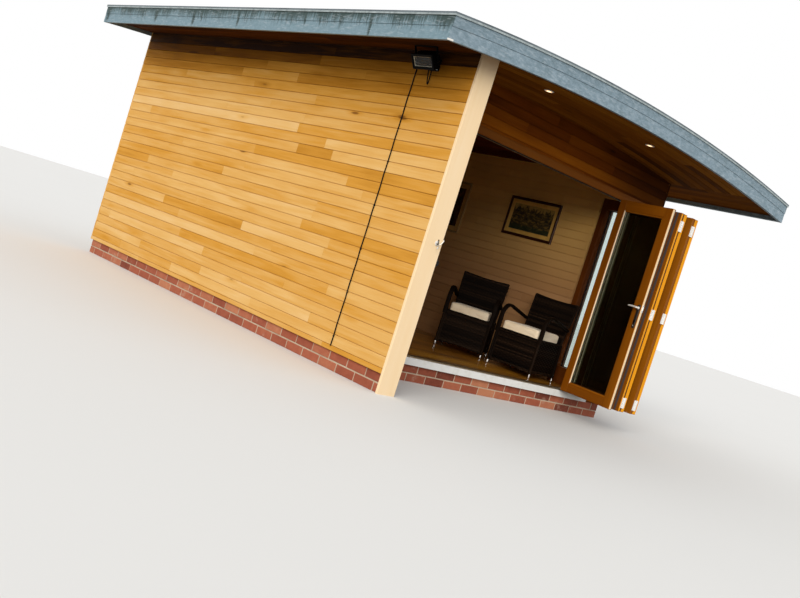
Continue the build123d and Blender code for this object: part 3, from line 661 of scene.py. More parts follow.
def slab(stock, low, high, tone=0.5, look=0, edge=0.002, along=0, shift=(0, 0, 0), turned=None):
    # a squared timber or plate with eased edges, its grain along the given axis
    size = [high[i] - low[i] for i in range(3)]
    a, b, c = along, (along + 1) % 3, (along + 2) % 3
    e = min(edge, size[b] / 3, size[c] / 3)
    w, h = size[b], size[c]
    outline = [(e, 0), (w - e, 0), (w, e), (w, h - e), (w - e, h), (e, h), (0, h - e), (0, e)]

    def place(u, v, t):
        spot = [0.0, 0.0, 0.0]
        spot[a], spot[b], spot[c] = low[a] + u, low[b] + v, low[c] + t
        return turned(*spot) if turned else Vector(spot)

    stock.sweep(outline, (0, size[a]), place, tone, shift, look)


# boards on the walls
cladding = {
    "pitch": 0.0846, "datum": 1.197, "gap": 0.0035, "shortest": 1.1, "longest": 3.4,
    "firstCut": 0.2, "fromEnd": 0.25, "endGap": 0.0012,
    # joints on the left wall by row from the datum up, then its boards' tones from back to front; the top
    # rows are dark with painted shade under the eave
    "leftJoints": {
        13: [-0.6, 1.2], 12: [-1.268, 0.2], 11: [-0.345, 0.577], 10: [0.315, 1.63], 9: [-0.703],
        4: [-1.15, -0.65], 2: [-1.44, 1.3], 0: [-1.83, 0.4], -1: [-1.153, 1.9], -4: [-1.455, 0.7],
    },
    "leftTones": {
        15: [0.0], 14: [0.0, 0.03, 0.0], 13: [0.34, 0.22, 0.16], 12: [0.38, 0.4, 0.34], 11: [0.36, 0.5, 0.37],
        10: [0.5, 0.54, 0.5], 9: [0.52, 0.56], 8: [0.56, 0.61, 0.58], 7: [0.6, 0.64, 0.61],
        4: [0.62, 0.44, 0.6], 3: [0.5, 0.6, 0.56], 2: [0.48, 0.62, 0.55],
    },
    "spread": 0.05, "slip": 0.0012,
}


# how a board is cut beside an opening and under the roof
trimming = {"sliver": 0.002, "probes": 60, "lowest": 0.006,
            "bendStep": 0.08, "roofGap": 0.0005, "roofTaper": 0.001}


def besideHoles(bit, holes):
    # what openings leave of a board: from, to, low and high of each bit
    bits, sliver = [bit], trimming["sliver"]
    for left, right, under, over in holes:
        cut = []
        for a, b, c, d in bits:
            if b <= left or a >= right or d <= under or c >= over:
                cut.append((a, b, c, d))
                continue
            if a < left:
                cut.append((a, left, c, d))
            if b > right:
                cut.append((right, b, c, d))
            if d > over + sliver:
                cut.append((max(a, left), min(b, right), over, d))
            if c < under - sliver:
                cut.append((max(a, left), min(b, right), c, under))
        bits = cut
    return bits


def rowMarks(dice, run):
    # random joints along a row
    marks = []
    mark = run[0] - dice.uniform(cladding["firstCut"], cladding["longest"])
    while mark < run[1]:
        if run[0] + cladding["fromEnd"] < mark < run[1] - cladding["fromEnd"]:
            marks.append(mark)
        mark += dice.uniform(cladding["shortest"], cladding["longest"])
    return marks


def boards(stock, run, rise, place, pitch, datum, seed, gap, thickness=None, top=None, holes=(),
           joints=None, tones=None, spread=0.16, middle=0.55, step=None):
    # rows of boards: run is along them, rise across them, place turns (along, across, out) into space
    dice = random.Random(seed)
    thickness = thickness or pod["board"]
    row = math.floor((rise[0] - datum) / pitch)
    while datum + row * pitch < rise[1] - trimming["sliver"]:
        low = max(datum + row * pitch, rise[0])
        high = min(datum + (row + 1) * pitch, rise[1])
        marks = (joints or {}).get(row) or rowMarks(dice, run)
        ends = [run[0], *sorted(marks), run[1]]
        given = (tones or {}).get(row, [])
        for i in range(len(ends) - 1):
            tone = given[i % len(given)] if given else held(dice.gauss(middle, spread), 0.08, 0.95)
            shift = (dice.uniform(0, 40), dice.uniform(0, 40), dice.uniform(0, 40))
            start = ends[i] + (cladding["endGap"] / 2 if i else 0)
            stop = ends[i + 1] - (cladding["endGap"] / 2 if i < len(ends) - 2 else 0)
            for a, b, c, d in besideHoles((start, stop, low, high), holes):
                stations = steps(a, b, max(1, math.ceil((b - a) / step))) if step else [a, b]
                if top:
                    kept = [u for u in steps(a, b, trimming["probes"]) if top(u) > c + trimming["lowest"]]
                    if not kept:
                        continue
                    a, b = kept[0], kept[-1]
                    parts = 1
                    if min(top(a), top(b)) < d:
                        # the board's upper edge is cut to the roof's curve
                        parts = max(2, math.ceil((b - a) / trimming["bendStep"]))
                    stations = steps(a, b, parts)

                def spot(u, v, w, c=c):
                    level = c + v
                    if top:
                        slack = trimming["roofGap"] + trimming["roofTaper"] * (pitch - v) / pitch
                        level = min(level, top(u) - slack)
                    return place(u, level, w)

                stock.sweep(boardOutline(d - c, thickness, gap), stations, spot, tone, shift)
        row += 1


def roofTop(x):
    # underside of the roof deck above the ground
    return arch(x) + pod["deck"]


def buildCladding():
    # cedar boards on every wall, each stock with its runs of boards
    c, low = cladding, pod["plinth"]
    wingBack, rise, over = pod["wingFront"] + pod["board"], (low, roofTop(outer)), (low, roofTop(0))
    window = (pod["headerBack"], pod["windowBack"], low, pod["frameTop"])
    face = lambda u, v, w: Vector((u, pod["brickFace"] + pod["board"] - w, v))
    walls = {
        ("leftBoards", "cedar", "left_cladding"): [
            ((wingBack, studBack), rise, lambda u, v, w: Vector((-studOut - w, u, v)), 11,
             {"joints": c["leftJoints"], "tones": c["leftTones"], "middle": 0.58, "spread": c["spread"]})],
        ("rightBoards", "cedar", "right_cladding"): [
            ((pod["brickFace"], studBack), rise, lambda u, v, w: Vector((studOut + w, u, v)), 12,
             {"holes": [window], "middle": 0.6, "spread": c["spread"]})],
        ("backBoards", "cedar", "back_cladding"): [
            ((-outer, outer), over, lambda u, v, w: Vector((u, studBack + w, v)), 13,
             {"top": roofTop, "middle": 0.6, "spread": c["spread"]})],
        # the header and the wing's lining are in the darker cedar as painted shade; the wing's lining is set
        # lighter than the header
        ("headerBoards", "shadeCedar", "front_cladding"): [
            ((pod["frameLeft"], studOut), (pod["frameTop"], roofTop(0)), face, 14,
             {"top": roofTop, "middle": 0.5, "spread": 0.1}),
            ((pod["frameRight"], studOut), (low, pod["frameTop"]), face, 15, {"middle": 0.5})],
        ("wingBoards", "shadeCedar", "wing_lining"): [
            ((wingBack, pod["headerBack"]), (low, roofTop(roomHalf)),
             lambda u, v, w: Vector((-studIn + w, u, v)), 16, {"middle": 0.8, "spread": 0.1})],
    }
    for (name, look, node), runs in walls.items():
        stock = Stock(name, look)
        for run, height, place, seed, rest in runs:
            boards(stock, run, height, place, c["pitch"], c["datum"], seed, c["gap"], **rest)
        if name == "headerBoards":
            # slip over the ends of the side wall's boards
            slab(stock, (studOut, pod["brickFace"] - c["slip"], low),
                 (outer, pod["brickFace"], roofTop(outer) - 0.001), 0.35, along=2, edge=0)
        stock.make("cedar", node)
    print("cladding made")


lining = {"pitch": 0.088, "gap": 0.003, "datum": 0.205}


def buildLining():
    # white boards on the room's four walls
    stock = Stock("liningBoards", "whiteBoards")
    common = {**lining, "middle": 0.6, "spread": 0.2}
    front, back = pod["headerBack"], roomBack + pod["board"]
    side, over = (pod["floor"], roofTop(studIn)), (pod["frameTop"], roofTop(0))
    window = (front, pod["windowBack"], pod["floor"], pod["frameTop"])
    inner = lambda u, v, w: Vector((u, front + w, v))
    boards(stock, (front, back), side, lambda u, v, w: Vector((-studIn + w, u, v)), seed=21, **common)
    boards(stock, (front, back), side, lambda u, v, w: Vector((studIn - w, u, v)), seed=22, holes=[window],
           **common)
    boards(stock, (-roomHalf, roomHalf), (pod["floor"], roofTop(0)), lambda u, v, w: Vector((u, back - w, v)),
           seed=23, top=roofTop, **common)
    boards(stock, (-roomHalf, roomHalf), over, inner, seed=24, top=roofTop, **common)
    boards(stock, (pod["frameRight"], roomHalf), (pod["floor"], pod["frameTop"]), inner, seed=25, **common)
    stock.make("painted_boards", "room_lining")
    print("lining made")


overhead = {"pitch": 0.0885, "gap": 0.0035, "thickness": 0.015}
bendStep = 0.14


def buildSoffits():
    # boards under the veranda and the side overhangs, and the room's ceiling
    under = lambda u, v, w: Vector((u, v, arch(u) + pod["deck"] - w))
    across = lambda u, v, w: Vector((v, u, arch(v) + pod["deck"] - w))
    front, back = pod["roofFront"] + pod["fascia"], pod["roofBack"] - pod["fascia"]
    edge, wing, room = pod["roofHalf"] - pod["fascia"], pod["wingFront"], pod["headerBack"] + pod["board"]
    curved = {"spread": 0.2, "step": bendStep}
    # each run's middle tone is painted light: the left side soffit darkest with painted shade, the veranda
    # lighter towards its open front
    runs = {
        ("porchBoards", "soffitCedar", "cedar", "veranda_soffit"): [
            ((-outer, outer), (front, wing), under, front, 31, {"middle": 0.85, **curved}),
            ((-roomHalf, outer), (wing, pod["brickFace"]), under, front, 32, {"middle": 0.74, **curved})],
        ("sideSoffitBoards", "soffitCedar", "cedar", "side_soffits"): [
            ((front, back), (-edge, -outer), across, -edge, 33, {"middle": 0.2, "spread": 0.1}),
            ((front, back), (outer, edge), across, outer, 34, {"middle": 0.5})],
        ("ceilingBoards", "ceiling", "dark_timber", "room_ceiling"): [
            ((room, roomBack), (-roomHalf, roomHalf), across, -roomHalf, 35, {"middle": 0.5})],
    }
    for (name, look, slot, node), rows in runs.items():
        stock = Stock(name, look)
        for run, rise, place, datum, seed, rest in rows:
            boards(stock, run, rise, place, datum=datum, seed=seed, **overhead, **rest)
        stock.make(slot, node)
    print("soffits and ceiling made")


floorLook = {"pitch": 0.118, "gap": 0.0012, "datum": -1.6}


def buildFloor():
    # floor boards over the whole depth of the deck
    stock = Stock("floorBoards", "floorBoards")
    boards(stock, (-studIn, studIn), (pod["headerBack"], roomBack + pod["board"]),
           lambda u, v, w: Vector((u, v, pod["plinth"] + w)), thickness=pod["floor"] - pod["plinth"],
           seed=41, spread=0.17, **floorLook)
    stock.make("oiled_timber", "floor_deck")
    print("floor made")


# brick plinth
bricks = {"length": 0.215, "height": 0.065, "depth": 0.1025, "joint": 0.01, "edge": 0.003, "recess": 0.004,
          "least": 0.02, "wall": 0.215, "overrun": 0.002, "wobble": 0.001, "wingSink": 0.15, "returned": 0.15}


def layFace(stock, dice, length, place, through):
    # two courses along one face; through says per course if its first brick turns the corner here
    b, wobble = bricks, bricks["wobble"]
    for course in range(2):
        low = course * (b["height"] + b["joint"])
        high = low + b["height"] + (b["overrun"] if course else 0)
        start = 0.0 if through[course] else b["depth"] + b["joint"]
        while start < length - b["least"]:
            stop = min(start + b["length"], length)
            size = stop - start
            proud = dice.uniform(-1.5 * wobble, 0.0)
            e = b["edge"] + dice.uniform(-wobble, 1.5 * wobble)
            bow = dice.uniform(-wobble, wobble)

            def outline(u, e=e, proud=proud, size=size, bow=bow):
                tuck = e if u in (0, size) else 0
                h, deep = high - low, -b["depth"] + 0.002
                return [
                    (0.0005, deep), (h - 0.0005, deep), (h, proud - e), (h - e, proud - tuck),
                    (h / 2, proud - tuck + (0 if tuck else bow)), (e, proud - tuck), (0, proud - e),
                ]

            spot = lambda u, v, w, start=start: place(start + u, low + v, w)
            stations = (0, e, size / 2, size - e, size)
            stock.sweep(outline, stations, spot, held(dice.gauss(0.5, 0.2), 0, 1), drift(dice, 30))
            start += b["length"] + b["joint"]


def buildPlinth():
    # bricks outside, a mortar core set back behind them, and the wing's inner bricks
    dice = random.Random(51)
    stock = Stock("plinthBricks", "brick")
    front, back, wing = pod["brickFace"], studBack, pod["wingFront"] + pod["board"]
    for length, place, through in (
        (2 * studOut - bricks["returned"],
         lambda u, v, w: Vector((studOut - u, front - w, v)), (True, False)),
        (back - front, lambda u, v, w: Vector((studOut + w, front + u, v)), (False, True)),
        (2 * studOut, lambda u, v, w: Vector((studOut - u, back + w, v)), (True, False)),
        (back - wing, lambda u, v, w: Vector((-studOut - w, back - u, v)), (False, True)),
    ):
        layFace(stock, dice, length, place, through)
    stock.make("brick", "brick_plinth")
    core = Stock("plinthMortar", "mortar")
    thick, left, right = bricks["wall"], -studOut + bricks["recess"], studOut - bricks["recess"]
    near, far = front + bricks["recess"], back - bricks["recess"]
    for x0, x1, y0, y1 in (
        (-studOut + thick, right, near, front + thick), (-studOut + thick, right, back - thick, far),
        (left, -roomHalf - bricks["recess"], wing, near), (left, -studOut + thick, near, far),
        (studOut - thick, right, front + thick, back - thick),
    ):
        slab(core, (x0, y0, 0), (x1, y1, pod["plinth"] - 0.001), edge=0)
    core.make("brick")
    inner = Stock("wingBricks", "brick")
    sunk = lambda u, v, w: Vector((-roomHalf + min(w, 0) * bricks["wingSink"], front - u, v))
    layFace(inner, dice, front - wing, sunk, (True, False))
    inner.make("brick")
    print("plinth made")


# door frame, leaves, glass
doors = {
    "count": 5, "gap": 0.003, "thickness": 0.044, "stile": 0.08, "topRail": 0.092, "bottomRail": 0.088,
    "lean": math.radians(4.6), "spacing": 0.047, "clear": 0.05, "edge": 0.003,
    "paneThickness": 0.004, "paneSpread": 0.016, "paneLap": 0.016, "bead": 0.014, "spacer": 0.014,
    "frameFront": -1.735, "frameDepth": 0.1, "track": 0.01,
    "hingeRadius": 0.008, "hingeHeight": 0.1, "hingeReach": 0.027, "hingeFlap": 0.003, "hingeAway": 0.0003,
    "hingeDrop": 0.119, "hingeRise": 0.085, "endGap": 0.003, "edgeGap": 0.002,
    "stripFrom": 0.054, "stripTo": 0.03, "stripProud": 0.0015,
}
openLeft = pod["frameLeft"] + pod["jamb"]
openRight = pod["frameRight"] - pod["jamb"]
leafWidth = (openRight - openLeft - (doors["count"] + 1) * doors["gap"]) / doors["count"]
leafLow = pod["sill"] + doors["track"] + doors["gap"]
leafHeight = pod["doorTop"] - doors["gap"] - leafLow
leanShift = leafWidth * math.sin(doors["lean"])


def leafPlace(number):
    # from a leaf's own (outwards, up, towards its left face) to space
    side = -1 if number % 2 else 1
    lean = side * doors["lean"]
    middle = openRight - doors["gap"] - doors["thickness"] / 2 - leanShift / 2
    middle -= (doors["count"] - number) * (doors["spacing"] + leanShift)
    start = Vector((middle - side * leanShift / 2, pod["brickFace"] - doors["clear"], leafLow))
    out = Vector((math.sin(lean), -math.cos(lean), 0))
    up = Vector((0, 0, 1))
    face = Vector((-math.cos(lean), -math.sin(lean), 0))
    return lambda u, v, w: start + out * u + up * v + face * w


def glazedFrame(stock, place, width, height, thickness, stile, topRail, bottomRail, dice, pale=0):
    # stiles run full height, rails stand between them, beads and seals hold the glass
    e, t = doors["edge"], thickness / 2
    box = lambda w: [(e, -t), (w - e, -t), (w, -t + e), (w, t - e),
                     (w - e, t), (e, t), (0, t - e), (0, -t + e)]
    for start in (0, width - stile):
        stock.sweep(box(stile), (0, height), lambda u, v, w, start=start: place(start + v, u, w),
                    dice.gauss(0.55, 0.08), drift(dice, 30))
    for low, tall in ((0, bottomRail), (height - topRail, topRail)):
        stock.sweep(box(tall), (0, width - 2 * stile),
                    lambda u, v, w, low=low: place(stile + u, low + v, w * 0.985),
                    dice.gauss(0.5, 0.08), drift(dice, 30))
    middle = (width / 2, (bottomRail + height - topRail) / 2)
    wide, tall = width - 2 * stile, height - topRail - bottomRail
    b, g = doors["bead"], doors["paneSpread"] / 2 + doors["paneThickness"]
    for face in (1, -1):
        at = lambda x, y, w, face=face: place(middle[0] + x, middle[1] + y, face * w)
        # on the door leaves one side's bead takes the pale look: painted reflection of the bright outside
        stock.ring(at, wide, tall, [(0, g), (b, g), (b, g + 0.003), (b * 0.45, t - 0.006), (0, t - 0.004)],
                   0.6, (dice.uniform(0, 30), 0, 0), look=(0, 0, 0, pale))
        stock.ring(at, wide - 2 * b + 0.002, tall - 2 * b + 0.002,
                   [(0, g), (0.004, g), (0.004, g + 0.0012), (0, g + 0.003)], look=1)


def glazedPanes(stock, place, width, height, stile, topRail, bottomRail):
    # two panes with a metal spacer between their edges
    d = doors
    middle = (width / 2, (bottomRail + height - topRail) / 2)
    wide, tall = width - 2 * stile + d["paneLap"], height - topRail - bottomRail + d["paneLap"]
    near = d["paneSpread"] / 2
    for side in (1, -1):
        stock.sweep(oblong(-tall / 2, tall / 2, near, near + d["paneThickness"]), (-wide / 2, wide / 2),
                    lambda u, v, w, side=side: place(middle[0] + u, middle[1] + v, side * w))
    at = lambda x, y, w: place(middle[0] + x, middle[1] + y, w)
    stock.ring(at, wide, tall, oblong(0, d["spacer"], -near + 0.0005, near - 0.0005), look=1)


def buildDoors():
    # five folded leaves, their panes, and the frame they fold out of
    dice = random.Random(61)
    d = doors
    sizes = d["stile"], d["topRail"], d["bottomRail"]
    edge = (d["endGap"], leafHeight - d["endGap"])
    face = d["thickness"] / 2
    t = face - d["edgeGap"]
    # on a leaf's outward edge from its right face to its left: from, to, look, how far proud; the golden and
    # cream bands are painted sunlight on the edges, the grey band painted shade in the gap beside the next
    # leaf
    plain = [(-t, t, 3, 0.0008)]
    bands = {
        1: [(-t, -0.008, 2, 0.0006), (-0.0075, 0.017, 4, 0.0008), (0.0175, t, 3, 0.0008)],
        2: [(-t, -0.006, 1, 0.0006), (-0.0055, t, 3, 0.0008)], 4: [],
    }
    for number in range(1, d["count"] + 1):
        stock = Stock(f"leaf{number}", "joinery", "rubber", "greySeal", "edgeWood", "paleBead")
        place = leafPlace(number)
        glazedFrame(stock, place, leafWidth, leafHeight, d["thickness"], *sizes, dice, pale=4)
        for near, far, look, proud in bands.get(number, plain):
            stock.sweep(oblong(near, far, 0, proud), edge, lambda a, v, w: place(leafWidth + w, a, v),
                        0.5, (number * 3.0, 0, 0), look)
        if number == 2:
            # dark strip on this leaf's face: painted shade in the fold between the first two leaves
            strip = oblong(leafWidth - d["stripFrom"], leafWidth - d["stripTo"], face, face + d["stripProud"])
            stock.sweep(strip, edge, lambda u, v, w: place(v, u, w), look=2)
        stock.make("oiled_timber", f"door_leaf_{number}")
    glass = Stock("doorPanes", "doorGlass", "spacerMetal")
    for number in range(1, d["count"] + 1):
        glazedPanes(glass, leafPlace(number), leafWidth, leafHeight, *sizes)
    glass.make("glass", "door_glass")
    front, back = d["frameFront"], d["frameFront"] + d["frameDepth"]
    low, head = pod["sill"], pod["doorTop"]
    frameStock = Stock("doorFrame", "joinery", "rubber", "trackMetal")
    slab(frameStock, (pod["frameLeft"], front, head), (pod["frameRight"], back, pod["frameTop"]), edge=0.003)
    for left, right, seed in ((pod["frameLeft"], openLeft, 3), (openRight, pod["frameRight"], 7)):
        slab(frameStock, (left, front, low), (right, back, head), 0.55, edge=0.003, along=2,
             shift=(0, seed, 0))
    # seal and track under the head, then the track on the sill: near, far, bottom, top, look, edge
    track = low + d["track"]
    for near, far, bottom, top, look, e in (
        (0.012, 0.03, head - 0.006, head, 1, 0.002), (0.042, 0.07, head - 0.004, head, 2, 0.002),
        (0.01, 0.038, low, track, 2, 0.001), (0.038, 0.058, low, low + 0.003, 2, 0.001),
        (0.058, 0.09, low, track, 2, 0.001),
    ):
        slab(frameStock, (openLeft, front + near, bottom), (openRight, front + far, top), look=look, edge=e)
    frameStock.make("oiled_timber", "door_frame")
    print("doors made")


sideWindow = {"stile": 0.065, "topRail": 0.098, "bottomRail": 0.228}


def buildSideWindow():
    # one fixed sash as thick as the wall's studs
    dice = random.Random(62)
    width, height = pod["windowBack"] - pod["headerBack"], pod["frameTop"] - pod["plinth"]
    x = (studIn + studOut) / 2
    place = lambda u, v, w: Vector((x - w, pod["windowBack"] - u, pod["plinth"] + v))
    stock = Stock("sideWindow", "darkJoinery", "rubber")
    sizes = sideWindow["stile"], sideWindow["topRail"], sideWindow["bottomRail"]
    glazedFrame(stock, place, width, height, pod["stud"], *sizes, dice)
    stock.make("dark_timber", "side_window_frame")
    glass = Stock("sideWindowPanes", "doorGlass", "spacerMetal")
    glazedPanes(glass, place, width, height, *sizes)
    glass.make("glass", "side_window_glass")
    print("side window made")


# post board at the end of the wing, with its hook
hook = {
    "x": -1.725, "plate": 0.036, "thickness": 0.005, "reach": 0.04, "level": 1.135, "wire": 0.0042,
    "rim": 0.003, "screw": 0.003, "screwAway": 0.011, "tip": 1.3, "slack": 0.009,
    # two horns curl up and out, a longer one hangs below: sideways, up, look
    "horns": ((0.026, 0.03, 0), (-0.022, 0.024, 2), (-0.013, -0.034, 1)),
}
doorStop = {
    "y": -2.452, "z": 1.003, "tall": 0.1, "wide": 0.05,
    # its share of the full width by how far it stands out
    "shape": {0.0: 0.7, 0.004: 0.7, 0.008: 0.86, 0.024: 1.0, 0.036: 0.9, 0.042: 0.6, 0.064: 0.3},
}
endBoard = {"edge": 0.0025, "above": 0.03, "parts": 24}


def buildEndBoard():
    # upright board on the end of the wing, cut to the roof
    stock = Stock("endBoard", "paleTimber")
    width, e, t = outer - roomHalf, endBoard["edge"], pod["board"]
    outline = [(e, 0), (width - e, 0), (width, e), (width, t), (0, t), (0, e)]

    def place(u, v, w):
        x = -outer + v
        return Vector((x, pod["wingFront"] + w, min(u, roofTop(x) - trimming["roofGap"])))

    stock.sweep(outline, steps(0, roofTop(outer) + endBoard["above"], endBoard["parts"]), place, 0.6,
                (5, 2, 0))
    stock.make("pale_timber", "wing_end_board")


def buildHook():
    # round plate with three horns, and the black stop inside the wing
    h = hook
    x, front, z = h["x"], pod["wingFront"], h["level"]
    stock = Stock("hook", "leverMetal", "chrome", "lockMetal")

    def plate(u):
        # narrower at its front
        share = 1 - 3 * max(0, u - h["rim"]) / (h["plate"] / 2)
        return [(v * share, w * share) for v, w in oval(h["plate"], h["plate"])]

    stock.sweep(plate, (0, h["rim"], h["thickness"]), lambda u, v, w: Vector((x + v, front - u, z + w)))
    for across, rise, look in h["horns"]:
        path = [(x + across * a ** 1.3, front - 0.004 - (h["reach"] - h["slack"]) * math.sin(a * 1.7),
                 z + rise * a * a - 0.008 * math.sin(a * math.pi)) for a in steps(0, 1, 14)]
        stock.tube(path, lambda share: h["wire"] * (1 - 0.2 * share), look=look)
        stock.bead(path[-1], h["wire"] * h["tip"], look)
    for dz in (-h["screwAway"], h["screwAway"]):
        stock.bead((x, front - h["thickness"] - 0.0003, z + dz), h["screw"], 2)
    stock.make("hardware", "wall_hook", smooth=40)
    s, stop = doorStop, Stock("wingStop", "rubber")
    outline = lambda u: [(s["shape"][u] * v, s["shape"][u] * w) for v, w in oval(s["wide"], s["tall"])]
    stop.sweep(outline, list(s["shape"]), lambda u, v, w: Vector((-roomHalf + u, s["y"] + v, s["z"] + w)))
    stop.make("hardware", smooth=40)
    print("post board, hook and stop made")


# lamps
floodLight = {
    "centre": (-1.942, -2.052, 2.371), "tilt": math.radians(35),
    "width": 0.232, "height": 0.112, "depth": 0.09, "rim": 0.012,
    "taper": math.radians(8), "bowl": math.radians(28), "recess": 0.04, "plate": 0.09,
    "bracket": -1.983, "strap": 0.022, "fin": 0.019,
    "fins": 9, "finSpacing": 0.02, "finFrom": -0.08, "finHalf": 0.0015,
    "facets": 6, "facet": 0.0025, "hammer": 0.0007,
    "frame": 0.014, "lip": 0.003, "seal": 0.0085, "corner": 0.012, "play": 0.006,
    "tube": 0.0048, "tubeEnd": 0.0035, "tubeUp": 0.017, "tubeAt": (-0.055, -0.053, -0.02, 0.02, 0.053, 0.055),
    "holder": 0.008, "holderAt": 0.061, "holderUp": 0.024, "arm": 0.02, "sheet": 0.003, "strapHalf": 0.009,
    "strapUp": 0.004, "knob": 0.009, "screwAt": 0.032, "screw": 0.004,
    "gland": 0.008, "nut": 0.0062, "cord": 0.0045,
    # way of the loop of flex
    "flex": (
        (-1.905, -2.062, 2.33), (-1.904, -2.066, 2.29), (-1.902, -2.078, 2.235), (-1.9, -2.088, 2.211),
        (-1.899, -2.092, 2.235), (-1.898, -2.088, 2.29), (-1.894, -2.078, 2.345), (-1.87, -2.06, 2.372),
        (-1.848, -2.055, 2.378),
    ),
}


def buildFloodLight():
    f = floodLight
    centre = Vector(f["centre"])
    across = Vector((0, 1, 0))
    ahead = Vector((-math.cos(f["tilt"]), 0, -math.sin(f["tilt"])))
    up = across.cross(ahead)
    place = lambda a, b, c: centre + across * a + up * b + ahead * c
    spot = lambda u, v, w: place(v, w, u)
    stock = Stock("floodLight", "blackPaint", "reflector", "lampGlass", "chrome",
                  "hingePaint", "reflectorBack")
    wide, high, deep, rim = f["width"], f["height"], f["depth"], f["rim"]
    front, play = deep / 2, f["play"]

    def body(u):
        # housing from its back to its front frame
        slack = (front - u) * math.tan(f["taper"])
        return roundedOblong(wide - 2 * slack - play, high - 2 * slack - play, f["corner"], 3)

    stock.sweep(body, (-front, -front + 0.004, 0.0, front - 0.012), spot)
    # front frame, its opening and the reflector behind the glass
    low, lip, seal = front - f["frame"], f["lip"], f["seal"]
    bezel = [(0, low), (rim, low), (rim, front - lip), (rim - lip, front), (lip, front), (0, front - lip)]
    stock.ring(place, wide, high, bezel)
    paneWide, paneHigh = wide - 2 * rim, high - 2 * rim
    inside = [(0, front - 0.011), (seal, front - 0.011), (seal, front - 0.006), (0, front - 0.005)]
    stock.ring(place, paneWide, paneHigh, inside)
    pane = roundedOblong(paneWide - 0.002, paneHigh - 0.002, 0.003, 3)
    stock.sweep(pane, (front - 0.0095, front - 0.0065), spot, look=2)
    low = front - f["recess"]
    slope = f["recess"] * math.tan(f["bowl"])
    levels = [low + f["recess"] * j / 5 - (0.011 if j == 5 else 0) for j in range(6)]
    for side in range(4):
        # hammered reflector, in narrow facets on each of its four sides
        def facet(u, v, w, side=side):
            grow = (u - low) / f["recess"]
            hw = paneWide / 2 - 0.004 - slope * (1 - grow)
            hh = paneHigh / 2 - 0.004 - slope * (1 - grow)
            bend = 0.0025 * math.sin(math.pi * grow)
            at = (v * 2 - 1)
            a, b = ((at * hw, hh - bend + w), (-hw + bend - w, at * hh),
                    (-at * hw, -hh + bend - w), (hw - bend + w, -at * hh))[side]
            return place(a, b, u)

        for k in range(f["facets"]):
            a, b = k / f["facets"], (k + 1) / f["facets"]
            dip = f["hammer"] * (k % 2)
            stock.sweep([(a, dip), (b, f["hammer"] - dip), (b, f["facet"]), (a, f["facet"])], levels, facet,
                        look=1)
    backWide, backHigh = paneWide / 2 - slope, paneHigh / 2 - slope
    slab(stock, (-backWide, -backHigh, low - 0.002), (backWide, backHigh, low), look=5, turned=place)
    # tube lamp between two white holders
    stock.tube([place(a, 0, low + f["tubeUp"]) for a in f["tubeAt"]],
               lambda share: f["tubeEnd"] if share in (0, 1) else f["tube"], 12, look=2)
    hold = f["holder"]
    for a in (-f["holderAt"], f["holderAt"]):
        slab(stock, (a - hold, -0.006, low), (a + hold, 0.006, low + f["holderUp"]), look=4, turned=place)
    # cooling fins over the top of the housing
    crown, fin = high / 2 - deep * math.tan(f["taper"]), f["finHalf"]
    for k in range(f["fins"]):
        a = f["finSpacing"] * k + f["finFrom"]
        slab(stock, (a - fin, crown - 0.004, -front + 0.004), (a + fin, crown + f["fin"], 0.006),
             turned=place, edge=0.0008)
    # plate and arm on the wall, strap under the soffit, wing screws
    wall, half, arm = -outer, f["plate"] / 2, f["arm"]
    slab(stock, (wall - 0.01, centre.y - half, centre.z - half), (wall, centre.y + half, centre.z + half),
         along=1)
    slab(stock, (centre.x + arm, centre.y - arm, centre.z - arm), (wall, centre.y + arm, centre.z + arm))
    reach, thin = wide / 2 + 0.005, f["sheet"] / 2
    bar, strap = f["bracket"], f["strap"] / 2
    over = arch(bar - strap) + pod["soffit"]
    under = over - f["strapUp"]
    slab(stock, (bar - strap, centre.y - reach, under), (bar + strap, centre.y + reach, over), along=1)
    top, pivot = Vector((bar, 0, under)), Vector((centre.x + 0.004, 0, centre.z))
    run = pivot - top
    along = run.normalized()
    aside = Vector((along.z, 0, -along.x))
    for side in (-1, 1):
        middle = centre.y + side * (reach - thin)
        turned = lambda u, v, w, middle=middle: Vector((0, middle + w, 0)) + top + along * u + aside * v
        slab(stock, (0, -f["strapHalf"], -thin), (run.length + 0.012, f["strapHalf"], thin), turned=turned)
        start, tip = [Vector((pivot.x, middle + side * away, pivot.z)) for away in (-0.012, 0.014)]
        stock.tube([start, tip], f["knob"], 14)
        stock.tube([tip, tip + Vector((0, side * 0.0015, 0))], f["knob"] / 2, 12, look=3)
    for dy in (-f["screwAt"], f["screwAt"]):
        for dz in (-f["screwAt"], f["screwAt"]):
            stock.bead((wall - 0.0105, centre.y + dy, centre.z + dz), f["screw"], 3)
    # gland and the loop of flex below the housing
    flex = [Vector(p) for p in f["flex"]]
    stock.tube([flex[0] + Vector((0.004, 0, 0.018)), flex[0]], f["gland"], 12)
    stock.tube([flex[0], flex[0] - Vector((0, 0, 0.007))], f["nut"], 8)
    stock.tube(smoothPath(flex), f["cord"], 8)
    stock.make("lamp", "flood_light", smooth=35)


def smoothPath(points, parts=6):
    # a smooth line through the points, each stretch in so many parts
    spots = [Vector(p) for p in points]
    spots = [spots[0] * 2 - spots[1], *spots, spots[-1] * 2 - spots[-2]]
    line = []
    for i in range(1, len(spots) - 2):
        a, b, c, d = spots[i - 1:i + 3]
        for k in range(parts):
            t = k / parts
            bend, twist = 2 * a - 5 * b + 4 * c - d, 3 * b - a - 3 * c + d
            line.append(0.5 * (2 * b + (c - a) * t + bend * t * t + twist * t ** 3))
    line.append(spots[-2])
    return line


